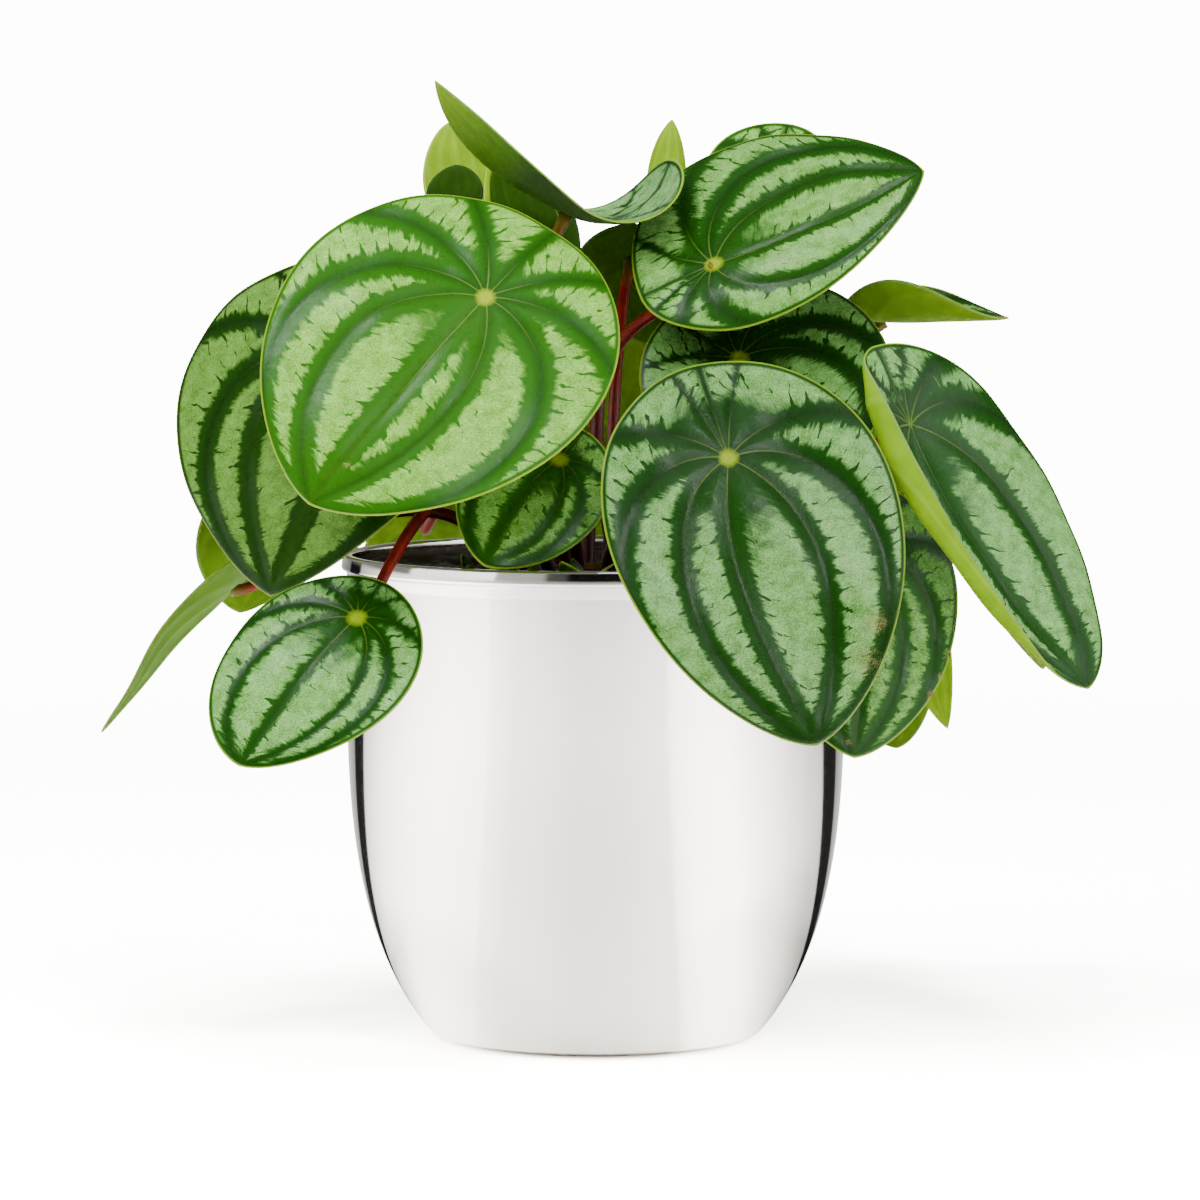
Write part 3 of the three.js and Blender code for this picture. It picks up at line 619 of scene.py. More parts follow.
def blade_sheet(leaf, X, Y):
    """Middle surface of a blade from disc coordinates, X from back (-1) to tip (1), Y to the left.
    The disc is stretched to the outline, curved across and along, and set between spot and tip.
    Gives the points, and how far along the midrib and across the blade each one lies."""
    front, back, point = leaf["front"], leaf["back"], leaf["point"]
    fullest = (0.5 - point) / (0.5 + point)
    widest = (1 - fullest) ** point * (1 + fullest) ** 0.5
    s = (X + 1) / 2 * (front + back) - back
    swell = np.maximum(1 - X, 1e-6) ** (point - 0.5) / widest
    halves, cups = leaf["halves"], leaf["cups"]
    left_t, right_t = (np.abs(Y) * halves[i] * swell for i in (0, 1))
    fold_start = leaf["fold"][0] * halves[1] * swell * np.sqrt(np.maximum(1 - X**2, 0))
    left_out, left_lift = side_path(left_t, halves[0], cups[0], 0, NO_FOLD)
    right_out, right_lift = side_path(right_t, halves[1], cups[1], fold_start, leaf["fold"])
    on_left = Y >= 0
    across = np.where(on_left, left_out, -right_out)
    lift = np.where(on_left, left_lift, right_lift)
    t = np.where(on_left, left_t, -right_t)

    wind = math.radians(leaf["twist"]) * s / front
    y = across * np.cos(wind) - lift * np.sin(wind)
    z = across * np.sin(wind) + lift * np.cos(wind)
    bends = [math.radians(leaf[key]) for key in ("bend", "base_bend")]
    curvature = np.where(s > 0, bends[0] / front, bends[1] / back)
    turned_by = curvature * s
    bent = np.where(np.abs(turned_by) < 1e-9, 1e-9, turned_by)
    x = s * np.sin(bent) / bent + z * np.sin(turned_by)
    rise = -s * (1 - np.cos(bent)) / bent + z * np.cos(turned_by)
    y = y + np.where(s > 0, leaf["aside"] * s**2 / front, 0)

    drop, yaw = leaf["drop"], math.atan2(leaf["aside"], leaf["straight"])
    level = x * math.cos(drop) - rise * math.sin(drop)
    height = x * math.sin(drop) + rise * math.cos(drop)
    forward = level * math.cos(yaw) + y * math.sin(yaw)
    sideways = -level * math.sin(yaw) + y * math.cos(yaw)
    points = (
        leaf["spot"] + forward[..., None] * leaf["ahead"]
        + sideways[..., None] * leaf["left"] + height[..., None] * leaf["up"]
    )
    return points, s, t


def upward(points):
    """Normals of a sheet of rings round a spot: the outward step crossed with the step round."""
    outward = np.gradient(points, axis=0)
    around = np.roll(points, -1, axis=1) - np.roll(points, 1, axis=1)
    normals = np.cross(outward, around)
    normals[0] = normals[1].sum(axis=0)
    return unit(normals)


def vein_lines(leaf, X, Y, s, t):
    """How many veins out from the midrib a point lies, how far along the vein, and how far apart
    the veins are there. On the disc each vein is an arc of a circle from the spot to the tip, so
    the angle that it leaves the spot at is the sum of the angles seen from its two ends."""
    midrib, left, right = leaf["veins"]
    angles = np.radians([-180, *(-a for a in right[::-1]), midrib, *left, 180])
    steps = len(left) + 1
    S = 2 * leaf["base"] - 1
    at_tip = np.arctan2(np.abs(Y), 1 - X)
    angle = np.copysign(np.arctan2(np.abs(Y), X - S) + at_tip, Y)
    angle[0] = angle[1]
    vein = np.interp(angle, angles, np.arange(-steps, steps + 1))
    run = np.hypot(s, t) * np.where(at_tip > 0, at_tip / np.sin(np.maximum(at_tip, 1e-6)), 1)
    gap = np.diff(angles)[np.clip(np.floor(vein).astype(int) + steps, 0, 2 * steps - 1)]
    size = math.sqrt((leaf["front"] + leaf["back"]) / 2 * sum(leaf["halves"]) / 2)
    pace = gap * size * np.hypot(X - S, Y) * np.hypot(1 - X, Y) / (1 - S)
    return np.abs(vein), run, pace


def living_surface(leaf, middle, s, t, off, from_spot, edge, seed):
    """Raises a blade's sheet: the veins are grooves, the flesh between them is puffed, and the
    whole blade waves a little. All of it fades out at the spot, and the grooves at the margin."""
    fade = np.clip(from_spot / RELIEF_FROM_SPOT, 0, 1) * np.clip(edge / RELIEF_FROM_EDGE, 0, 1)
    relief = fade * leaf["ruffle"] / RUFFLE * (
        PUFF * (1 - np.exp(-((off / PUFF_WIDTH) ** 2)))
        - GROOVE_DEPTH * np.exp(-((off / GROOVE_WIDTH) ** 2))
    )
    draw = np.random.default_rng(seed)
    ways = draw.uniform(0, 6.3, WAVES)
    lengths = draw.uniform(*WAVE_LENGTHS, WAVES)
    starts = draw.uniform(0, 6.3, WAVES)
    waves = sum(
        np.sin(s * math.cos(way) / length + t * math.sin(way) / length + start)
        for way, length, start in zip(ways, lengths, starts)
    )
    waves = leaf["ruffle"] * waves / 2 * np.clip(from_spot / WAVES_FROM_SPOT, 0, 1)
    return middle + upward(middle) * (relief + waves)[..., None]


def old_marks(leaf, s, t):
    """How strongly a blade's brown marks show: each fades as a bell from its middle."""
    scar = np.zeros_like(s)
    for mark_X, mark_Y, radius, strength in leaf["marks"]:
        _, mark_s, mark_t = blade_sheet(leaf, np.array([mark_X]), np.array([mark_Y]))
        fading = np.exp(-((s - mark_s) ** 2 + (t - mark_t) ** 2) / radius**2)
        scar = np.maximum(scar, strength * fading)
    return scar


def blade(leaf, grid, thickness, seed):
    """A blade's points, faces, material slots and vein coordinates.
    A ring q of spokes lies at X = S + q (cos a - S), Y = q sin a, with the spot at q = 0. The
    rings lie a little closer together towards the margin."""
    spokes, rings = grid
    S = 2 * leaf["base"] - 1
    q = np.linspace(0, 1, rings + 1)[:, None] ** 0.9
    angle = np.linspace(0, 2 * np.pi, spokes, endpoint=False)
    X = S + q * (np.cos(angle) - S)
    Y = q * np.sin(angle)
    middle, s, t = blade_sheet(leaf, X.ravel(), Y.ravel())
    middle, s, t = middle.reshape(*X.shape, 3), s.reshape(X.shape), t.reshape(X.shape)

    vein, run, pace = vein_lines(leaf, X, Y, s, t)
    spoke_steps = np.linalg.norm(np.diff(middle, axis=0), axis=2)
    from_spot = np.vstack([np.zeros(spokes), np.cumsum(spoke_steps, axis=0)])
    edge = from_spot[-1] - from_spot
    off = np.abs(vein - np.round(vein)) * pace
    middle = living_surface(leaf, middle, s, t, off, from_spot, edge, seed)

    # The blade is closed by its two sides, half its thickness off the middle, and a rim.
    normals = upward(middle)
    smooth = np.clip(edge / TAPER, 0, 1)
    half = (EDGE_THICKNESS + (thickness - EDGE_THICKNESS) * smooth * (2 - smooth)) / 2
    outward = unit(middle[-1] - middle[-2])
    upper = middle + normals * half[..., None]
    lower = middle - normals * half[..., None]
    rim = middle[-1] + outward * EDGE_ROUNDING
    rows = [upper[1:].reshape(-1, 3), rim, lower[:0:-1].reshape(-1, 3), upper[0, :1], lower[0, :1]]
    faces = capped_tube(2 * rings + 1, spokes)

    def spread(values):
        """One value for each point of the closed blade, from the values of its middle surface."""
        return np.concatenate([
            values[1:].ravel(), values[-1], values[:0:-1].ravel(), values[0, :1], values[0, :1],
        ])

    length = leaf["front"] + leaf["back"]
    widths = np.interp(vein, BAND_VEINS, (*BAND_SHARES, leaf["back_band"]))
    widths = widths * BAND_WIDTH / 2 * leaf["band"] * math.sqrt(length / BAND_LEAF)

    # The underside carries painted shade, as dark as its entry says at the back and at the tip, but for
    # a painted lit strip along one margin.
    lit_strip_side, lit_strip_reach = leaf["pale"]
    on_lit_strip = np.clip((lit_strip_reach - edge) / LIT_STRIP_FADE, 0, 1) * (Y * lit_strip_side > 0)
    under = np.interp(X, (-1, 1), leaf["under"]) * (1 - on_lit_strip)

    # Each half of each blade has its own place in the noises that shape the bands.
    half_place = np.where(Y >= 0, 1, 2) * 3.7 + seed * 11.3
    veins = np.column_stack([spread(run), spread(vein), spread(half_place)])
    flat = np.column_stack([spread(s), spread(t), spread(edge)])
    # Faces run from the spot over the upper side to the margin and back below, then the two fans.
    count = 2 * rings * spokes
    below = np.zeros(count + 2 * spokes, int)
    below[(rings + 1) * spokes:count] = 1
    below[count + spokes:] = 1
    if leaf["flipped"]:
        below = 1 - below
    layers = {
        "veins": veins, "flat": flat, "pace": spread(pace), "width": spread(widths),
        "scar": spread(old_marks(leaf, s, t)), "under": spread(under),
        "spotted": np.full(len(veins), float(leaf["spotted"])),
        "late": np.full(len(veins), float(leaf["late"])),
    }
    return np.vstack(rows), faces, below, layers


def stored(tree, *names):
    """The single values that dress_blade stores on a blade under these names."""
    return [add(tree, "Attribute", attribute_name=name, out="Fac") for name in names]


def stored_parts(tree, *names):
    """The three parts of each vector that dress_blade stores on a blade under these names."""
    vectors = [add(tree, "Attribute", attribute_name=name, out="Vector") for name in names]
    return [add(tree, "SeparateXYZ", {0: vector}).node.outputs for vector in vectors]


def shaded(tree, colour, shade, redness):
    """The colour times shade, and its red times redness too."""
    red = add(tree, "Math", {0: shade, 1: redness}, operation="MULTIPLY")
    veil = add(tree, "CombineColor", {0: red, 1: shade, 2: shade})
    return add(tree, "Mix", {0: 1.0, 6: colour, 7: veil}, data_type="RGBA", blend_type="MULTIPLY")


def band_edges(tree, veins, pace, width):
    """How far outside the dark bands the skin lies, in millimetres, with the distance to the
    nearest vein and the two noises that shape the bands' edges."""
    run, vein, seed = veins
    stripe = add(tree, "Math", {0: vein}, operation="FLOOR")
    part = add(tree, "Math", {0: vein}, operation="FRACT")
    inner = add(tree, "Math", {0: part, 1: pace}, operation="MULTIPLY")
    outer = add(tree, "Math", {0: pace, 1: inner}, operation="SUBTRACT")
    off = add(tree, "Math", {0: inner, 1: outer}, operation="MINIMUM")

    # The bands' edges are lobed, and feathered by fine spikes that lean towards the tip.
    lobe_run = add(tree, "Math", {0: run, 1: 0.16}, operation="MULTIPLY")
    follow = add(tree, "CombineXYZ", {0: lobe_run, 1: vein, 2: seed})
    lobes = add(tree, "TexNoise", {"Vector": follow, "Scale": 1.6, "Detail": 2})
    lean = add(tree, "Math", {0: inner, 1: -0.6, 2: run}, operation="MULTIPLY_ADD")
    spike_place = add(tree, "CombineXYZ", {0: lean, 1: vein, 2: seed})
    spikes = add(tree, "TexNoise", {"Vector": spike_place, "Scale": 1.1, "Detail": 3, "Roughness": 0.7})
    shaken = add(tree, "Math", {0: lobes, 1: 3.2, 2: off}, operation="MULTIPLY_ADD")
    shaken = add(tree, "Math", {0: spikes, 1: 4.5, 2: shaken}, operation="MULTIPLY_ADD")

    # Side veins are thorns on the inner stripes, and cut the outer ones into cobbles.
    is_outer = add(tree, "Math", {0: stripe, 1: 1.5}, operation="GREATER_THAN")
    spacing = add(tree, "MapRange", {"Value": is_outer, "To Min": 0.19, "To Max": 0.27})
    shift = add(tree, "Math", {0: stripe, 1: 0.618, 2: lobes}, operation="MULTIPLY_ADD")
    rung = add(tree, "Math", {0: lean, 1: spacing, 2: shift}, operation="MULTIPLY_ADD")
    rung = add(tree, "Math", {0: rung}, operation="FRACT")
    rung = add(tree, "Math", {0: rung, 1: 0.5}, operation="SUBTRACT")
    rung = add(tree, "Math", {0: rung}, operation="ABSOLUTE")
    thorn = add(tree, "MapRange", {"Value": rung, "From Max": 0.5, "To Min": 1, "To Max": 0})
    thorn = add(tree, "Math", {0: thorn, 1: 9}, operation="POWER")
    side = add(tree, "Math", {0: part}, operation="ROUND")
    nearest = add(tree, "Math", {0: stripe, 1: side}, operation="ADD")
    thorn_place = add(tree, "CombineXYZ", {0: lobe_run, 1: nearest, 2: seed})
    thorn_size = add(tree, "TexNoise", {"Vector": thorn_place, "Scale": 2.3, "Detail": 0})
    thorn_size = add(tree, "MapRange", {
        "Value": thorn_size, "From Min": 0.38, "From Max": 0.68, "To Max": 9,
    })
    weaker = add(tree, "MapRange", {"Value": side, "To Min": 1, "To Max": 0.35})
    outer_size = add(tree, "Math", {0: is_outer, 1: 0.6, 2: weaker}, operation="MULTIPLY_ADD")
    thorn_size = add(tree, "Math", {0: thorn_size, 1: outer_size}, operation="MULTIPLY")
    thorn = add(tree, "Math", {0: thorn, 1: thorn_size}, operation="MULTIPLY")
    shaken = add(tree, "Math", {0: shaken, 1: thorn}, operation="SUBTRACT")
    middle = add(tree, "Math", {0: width, 1: 3.9}, operation="ADD")
    outside = add(tree, "Math", {0: shaken, 1: middle}, operation="SUBTRACT")
    return outside, off, lobes, spikes


def silvering(tree, outside, lobes, spikes, reach, vein, late, edge):
    """How silvered the skin is: 1 between the bands, but 0 near the spot, where all bands run
    together, for a longer way behind it than before it, and 0 at the margin."""
    ragged = add(tree, "Math", {0: lobes, 1: 0.3, 2: reach}, operation="MULTIPLY_ADD")
    ragged = add(tree, "Math", {0: spikes, 1: 0.2, 2: ragged}, operation="MULTIPLY_ADD")
    behind = add(tree, "MapRange", {"Value": vein, "From Min": 2.0, "From Max": 3.2, "To Max": late})
    ragged = add(tree, "Math", {0: ragged, 1: behind}, operation="SUBTRACT")
    off_bands, clear, inside = (
        add(tree, "MapRange", {
            "Value": value, "From Min": low, "From Max": high,
        }, interpolation_type="SMOOTHSTEP")
        for value, low, high in ((outside, -0.4, 1.5), (ragged, 0.42, 0.66), (edge, 0.9, 1.8))
    )
    silver = add(tree, "Math", {0: off_bands, 1: clear}, operation="MULTIPLY")
    return add(tree, "Math", {0: silver, 1: inside}, operation="MULTIPLY")


def striped_blade_skin():
    """Upper skin of a peperomia leaf: waxy and glossy, with the green showing dark along the
    veins and silvered between them, where air lies under the skin."""
    material, tree = new_material("striped upper leaf skin")
    place = add(tree, "TexCoord", out="Object")
    veins, (along, across, edge), (blue, dark, warm) = stored_parts(tree, "veins", "flat", "tint")
    vein = veins[1]
    pace, width, scar, late, spotted = stored(tree, "pace", "width", "scar", "late", "spotted")

    # How far off the spot is, in millimetres and as a share of the whole way to the margin.
    across_squared = add(tree, "Math", {0: across, 1: across}, operation="MULTIPLY")
    spot_squared = add(tree, "Math", {0: along, 1: along, 2: across_squared}, operation="MULTIPLY_ADD")
    from_spot = add(tree, "Math", {0: spot_squared}, operation="SQRT")
    whole = add(tree, "Math", {0: from_spot, 1: edge}, operation="ADD")
    reach = add(tree, "Math", {0: from_spot, 1: whole}, operation="DIVIDE")

    outside, off, lobes, spikes = band_edges(tree, veins, pace, width)
    silver = silvering(tree, outside, lobes, spikes, reach, vein, late, edge)

    # Colours: each a warm and a cool green, mixed by the leaf's own tint.
    mottle = add(tree, "TexNoise", {"Vector": place, "Scale": 260, "Detail": 4, "Roughness": 0.6})
    speckle = add(tree, "TexNoise", {"Vector": place, "Scale": 2600, "Detail": 2})
    green, deep, pale, dusty = (
        add(tree, "Mix", {0: blue, 6: linear(warm_one), 7: linear(cool_one)}, data_type="RGBA")
        for warm_one, cool_one in (
            ("#235f04", "#0d4004"), ("#164503", "#0a2d03"),
            ("#92d45c", "#93c87e"), ("#568c26", "#4f8038"),
        )
    )
    heart = add(tree, "MapRange", {"Value": off, "From Max": 2.6})
    green = add(tree, "Mix", {0: heart, 6: deep, 7: green}, data_type="RGBA")
    # Painted shade: the dark share of the tint sinks the green towards near black.
    green = add(tree, "Mix", {0: dark, 6: green, 7: linear("#0a2603")}, data_type="RGBA")
    grain = add(tree, "Math", {0: mottle, 1: 0.4}, operation="MULTIPLY")
    grain = add(tree, "Math", {0: speckle, 1: 0.6, 2: grain}, operation="MULTIPLY_ADD")
    grain = add(tree, "MapRange", {"Value": grain, "From Min": 0.4, "From Max": 0.66})
    pale = add(tree, "Mix", {0: grain, 6: dusty, 7: pale}, data_type="RGBA")
    colour = add(tree, "Mix", {0: silver, 6: green, 7: pale}, data_type="RGBA")

    # A soft olive bloom lies round the midrib and the veins beside it.
    olive = add(tree, "MapRange", {"Value": vein, "From Max": 1.6, "To Min": 0.7, "To Max": 0})
    near = add(tree, "MapRange", {"Value": off, "From Min": 1, "From Max": 5, "To Min": 1, "To Max": 0})
    for share in (near, mottle, warm):
        olive = add(tree, "Math", {0: olive, 1: share}, operation="MULTIPLY")

    # A pale hair line runs up the middle of each vein for the first third of its way.
    hair = add(tree, "MapRange", {
        "Value": off, "From Min": 0.08, "From Max": 0.3, "To Min": 1, "To Max": 0,
    })
    hair_end = add(tree, "MapRange", {
        "Value": reach, "From Min": 0.12, "From Max": 0.55, "To Min": 0.35, "To Max": 0,
    })
    hair = add(tree, "Math", {0: hair, 1: hair_end}, operation="MULTIPLY")

    # The spot over the stalk is yellow, and the margin is a thin light line.
    spot_edge = add(tree, "Math", {0: mottle, 1: 1.6, 2: from_spot}, operation="MULTIPLY_ADD")
    spot = add(tree, "MapRange", {
        "Value": spot_edge, "From Min": 2.2, "From Max": 4.0, "To Min": 1, "To Max": 0,
    })
    spot = add(tree, "Math", {0: spot, 1: spotted}, operation="MULTIPLY")
    line = add(tree, "MapRange", {
        "Value": edge, "From Min": 0.1, "From Max": 0.5, "To Min": 0.8, "To Max": 0,
    })
    over = ((olive, "#3a6c04"), (hair, "#7da832"), (spot, "#8ea805"), (line, "#93b52c"))
    for share, hex_colour in over:
        colour = add(tree, "Mix", {0: share, 6: colour, 7: linear(hex_colour)}, data_type="RGBA")

    # Old marks are brown and dry. The whole leaf is as dark as its tint says: partly the green's own
    # depth, partly painted shade on leaves that lie in shadow.
    burnt = add(tree, "MapRange", {"Value": scar, "From Min": 0.5, "From Max": 0.75})
    dry = add(tree, "Mix", {0: burnt, 6: linear("#a89a62"), 7: linear("#4a2a0c")}, data_type="RGBA")
    withered = add(tree, "Math", {0: grain, 1: 0.35, 2: scar}, operation="MULTIPLY_ADD")
    withered = add(tree, "MapRange", {"Value": withered, "From Min": 0.45, "From Max": 0.95})
    colour = add(tree, "Mix", {0: withered, 6: colour, 7: dry}, data_type="RGBA")
    shade = add(tree, "MapRange", {"Value": dark, "To Min": 1, "To Max": 0.2})
    warmth = add(tree, "Math", {0: warm, 1: 0.12, 2: 0.96}, operation="MULTIPLY_ADD")
    colour = shaded(tree, colour, shade, warmth)

    # Relief too fine for the mesh: sunken hair lines, and skin cells, which are drawn about
    # 0.8 mm across, much coarser than they are, so that they show.
    cells = add(tree, "TexVoronoi", {"Vector": place, "Scale": 1300}, out="Distance")
    sunk = add(tree, "Math", {0: hair, 1: -1.2, 2: mottle}, operation="MULTIPLY_ADD")
    height = add(tree, "Math", {0: cells, 1: -0.06, 2: sunk}, operation="MULTIPLY_ADD")
    height = add(tree, "Math", {0: silver, 1: 0.25, 2: height}, operation="MULTIPLY_ADD")
    bump = add(tree, "Bump", {"Height": height, "Strength": 0.3, "Distance": 0.0004})
    roughness = add(tree, "MapRange", {
        "Value": mottle, "From Min": 0.3, "From Max": 0.7, "To Min": 0.25, "To Max": 0.33,
    })
    surface = add(tree, "BsdfPrincipled", {
        "Base Color": colour, "Roughness": roughness, "IOR": 1.4, "Specular IOR Level": 0.2,
        "Subsurface Weight": 0.12, "Subsurface Radius": (0.0006, 0.0015, 0.0003),
        "Subsurface Scale": 1.0, "Normal": bump,
    })
    add(tree, "OutputMaterial", {"Surface": surface})
    return material


def lime_blade_underside():
    """Underside of a leaf: smooth, paler and yellower than above, with the veins showing through."""
    material, tree = new_material("lime leaf underside")
    place = add(tree, "TexCoord", out="Object")
    (_, vein, _), (_, _, edge), (blue, _, _) = stored_parts(tree, "veins", "flat", "tint")
    pace, dark, scar = stored(tree, "pace", "under", "scar")
    nearest = add(tree, "Math", {0: vein}, operation="ROUND")
    off = add(tree, "Math", {0: vein, 1: nearest}, operation="SUBTRACT")
    off = add(tree, "Math", {0: off}, operation="ABSOLUTE")
    vein_mm = add(tree, "Math", {0: off, 1: pace}, operation="MULTIPLY")
    mottle = add(tree, "TexNoise", {"Vector": place, "Scale": 140, "Detail": 4})
    flesh = add(tree, "Mix", {0: mottle, 6: linear("#5c8205"), 7: linear("#84aa12")}, data_type="RGBA")
    shown = add(tree, "MapRange", {
        "Value": vein_mm, "From Min": 0.3, "From Max": 1.3, "To Min": 0.12, "To Max": 0,
    })
    colour = add(tree, "Mix", {0: shown, 6: flesh, 7: linear("#b2c850")}, data_type="RGBA")
    line = add(tree, "MapRange", {
        "Value": edge, "From Min": 0.3, "From Max": 0.8, "To Min": 0.7, "To Max": 0,
    })
    border = add(tree, "Mix", {0: blue, 6: linear("#aabf4a"), 7: linear("#4f8068")}, data_type="RGBA")
    colour = add(tree, "Mix", {0: line, 6: colour, 7: border}, data_type="RGBA")
    burnt = add(tree, "MapRange", {"Value": scar, "From Min": 0.5, "From Max": 0.8})
    colour = add(tree, "Mix", {0: burnt, 6: colour, 7: linear("#55300e")}, data_type="RGBA")
    # Painted shade: the underside is darkened as its stored under value says, its red the most.
    shade = add(tree, "MapRange", {"Value": dark, "To Min": 1, "To Max": 0.1})
    less_red = add(tree, "Math", {0: shade, 1: 0.5, 2: 0.5}, operation="MULTIPLY_ADD")
    colour = shaded(tree, colour, shade, less_red)
    height = add(tree, "Math", {0: shown, 1: 1.5, 2: mottle}, operation="MULTIPLY_ADD")
    bump = add(tree, "Bump", {"Height": height, "Strength": 0.15, "Distance": 0.0004})
    surface = add(tree, "BsdfPrincipled", {
        "Base Color": colour, "Roughness": 0.5, "IOR": 1.4, "Specular IOR Level": 0.06,
        "Subsurface Weight": 0.2, "Subsurface Radius": (0.001, 0.002, 0.0004),
        "Subsurface Scale": 1.0, "Normal": bump,
    })
    add(tree, "OutputMaterial", {"Surface": surface})
    return material


def dress_blade(piece, below, layers, tint):
    """Gives a blade's mesh its two skins, its vein coordinates and its tint."""
    mesh = piece.data
    mesh.polygons.foreach_set("material_index", below.astype(np.int32))
    tints = np.tile(tint, (len(mesh.vertices), 1))
    for name, values in {**layers, "tint": tints}.items():
        kind = "FLOAT_VECTOR" if values.ndim == 2 else "FLOAT"
        layer = mesh.attributes.new(name, kind, "POINT")
        layer.data.foreach_set("vector" if values.ndim == 2 else "value", values.ravel())


upper_skin = striped_blade_skin()
lower_skin = lime_blade_underside()
for number, (name, leaf) in enumerate(leaves.items()):
    grid = LARGE_GRID if leaf["front"] + leaf["back"] > LARGE_LEAF else SMALL_GRID
    points, faces, below, layers = blade(leaf, grid, BLADE_THICKNESS, seed=number + 1)
    piece = new_piece(name + "_blade", points, faces, [upper_skin, lower_skin])
    dress_blade(piece, below, layers, leaf["tint"])
    # The pot's mirror is kept clear of the leaves that hang down beside it.
    piece.visible_glossy = bool(leaf["tip"][2] > POT_HEIGHT)
    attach(piece, "root")
    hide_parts("leaf_" + name)


# Young shoots: tufts of small new leaves that have come up through the soil inside the rim.
SHOOT_BASE = 2.2
SHOOT_DEPTH = 0.4
SHOOT_LEANS = (40, 62)
SHOOT_GRID = (40, 10)
SHOOT_THICKNESS = 0.8
SHOOT_TINT = (0.2, 0.2, 0.8)
SHOOT_BAND = 0.6
YOUNG_SHOOTS = {
    "young_shoot_left": dict(foot=(-33, -44), turn=20, lengths=(14, 11, 12)),
    "young_shoot_middle": dict(foot=(-20, -56), turn=65, lengths=(10, 13, 9, 12)),
    "young_shoot_right": dict(foot=(-4, -50), turn=0, lengths=(12, 10, 14)),
}


def shoot_blade(centre, azimuth, lean, length):
    """A small leaf that leans out of the tuft's middle, laid out as the large ones are."""
    rise = np.array([
        math.cos(azimuth) * math.cos(lean), math.sin(azimuth) * math.cos(lean), math.sin(lean),
    ])
    return lay_out(dict(
        spot=centre + rise * SHOOT_BASE * 0.8, tip=centre + rise * length,
        face=(-math.cos(azimuth), -math.sin(azimuth), 1), halves=(length / 4, length / 4),
        base=0.1, point=0.85, bend=25, ruffle=0.05, tint=SHOOT_TINT, band=SHOOT_BAND,
    ))


for name, shoot in YOUNG_SHOOTS.items():
    centre = np.array([*shoot["foot"], SOIL_EDGE + SHOOT_BASE - SHOOT_DEPTH])
    parts = []
    for i, length in enumerate(shoot["lengths"]):
        azimuth = math.radians(shoot["turn"] + i * 360 / len(shoot["lengths"]))
        lean = math.radians(SHOOT_LEANS[i % len(SHOOT_LEANS)])
        leaf = shoot_blade(centre, azimuth, lean, length)
        parts.append(blade(leaf, SHOOT_GRID, SHOOT_THICKNESS, seed=40 + i))
    counts = np.cumsum([0] + [len(part[0]) for part in parts])
    faces = [tuple(k + first for k in face) for part, first in zip(parts, counts) for face in part[1]]
    layers = {key: np.concatenate([part[3][key] for part in parts]) for key in parts[0][3]}
    points = np.vstack([part[0] for part in parts])
    tuft = new_piece(name + "_tuft", points, faces, [upper_skin, lower_skin])
    dress_blade(tuft, np.concatenate([part[2] for part in parts]), layers, SHOOT_TINT)
    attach(tuft, "root")
    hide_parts(name)


# Studio: a white sweep all round that is lit up to near white, and soft boxes to the left, to the
# right, above and in front. No flags stand there: the lines in the polished pot are a painted
# reflection, dark and bright bands that the sweep shows only to reflected rays.
SWEEP_FLAT = 3.0
SWEEP_CURVE = 0.6
SWEEP_HEIGHT = 1.8
SWEEP_SIDES = 96
SWEEP_GLOW = 14
SWEEP_LIFT = 11
# Painted reflection: how bright the floor and the wall behind the camera look to reflected rays,
# by the way they lie from the pot: degrees to the right of the camera, and times the light of the
# bare paper. The dark bands stand for flags, the bright ones for lamps.
PAINTED_FLOOR_BANDS = [
    (-180, 1.3), (-160, 0.9), (-146, 0.4), (-145, 0.02), (-132, 0.02), (-131, 1.5), (-110, 3.6),
    (-88, 5.2), (-70, 5.4), (-49, 4.1), (-48, 3.3), (-36, 2.3), (-8, 1.7), (10, 1.8), (31, 2.4),
    (33, 3.6), (45, 6.2), (60, 7.2), (74, 4.2), (96, 2.2), (110, 1.6), (125, 1.2), (126, 0.02),
    (144, 0.02), (145, 0.4), (160, 0.9), (180, 1.3),
]
PAINTED_WALL_BANDS = [
    (-180, 0.4), (-92, 0.5), (-91, 5), (-46, 7), (-45, 1.6), (-23, 1.3), (-22, 0.25), (-13, 0.2),
    (-12, 0.02), (12, 0.02), (13, 0.2), (22, 0.25), (23, 1.3), (45, 1.6), (46, 7), (91, 5),
    (92, 0.5), (180, 0.4),
]
BRIGHTEST = 8


def banded(tree, turn, bands):
    """Brightness by the way from the pot: a ramp through the bands' values."""
    share = add(tree, "MapRange", {"Value": turn, "From Min": -math.pi, "From Max": math.pi})
    ramp = add(tree, "ValToRGB", {0: share})
    stops = ramp.node.color_ramp.elements
    for degrees, value in bands[1:-1]:
        stops.new((degrees + 180) / 360)
    for stop, (degrees, value) in zip(stops, bands):
        stop.position = (degrees + 180) / 360
        stop.color = (value / BRIGHTEST,) * 3 + (1,)
    return add(tree, "Math", {0: ramp, 1: BRIGHTEST}, operation="MULTIPLY")


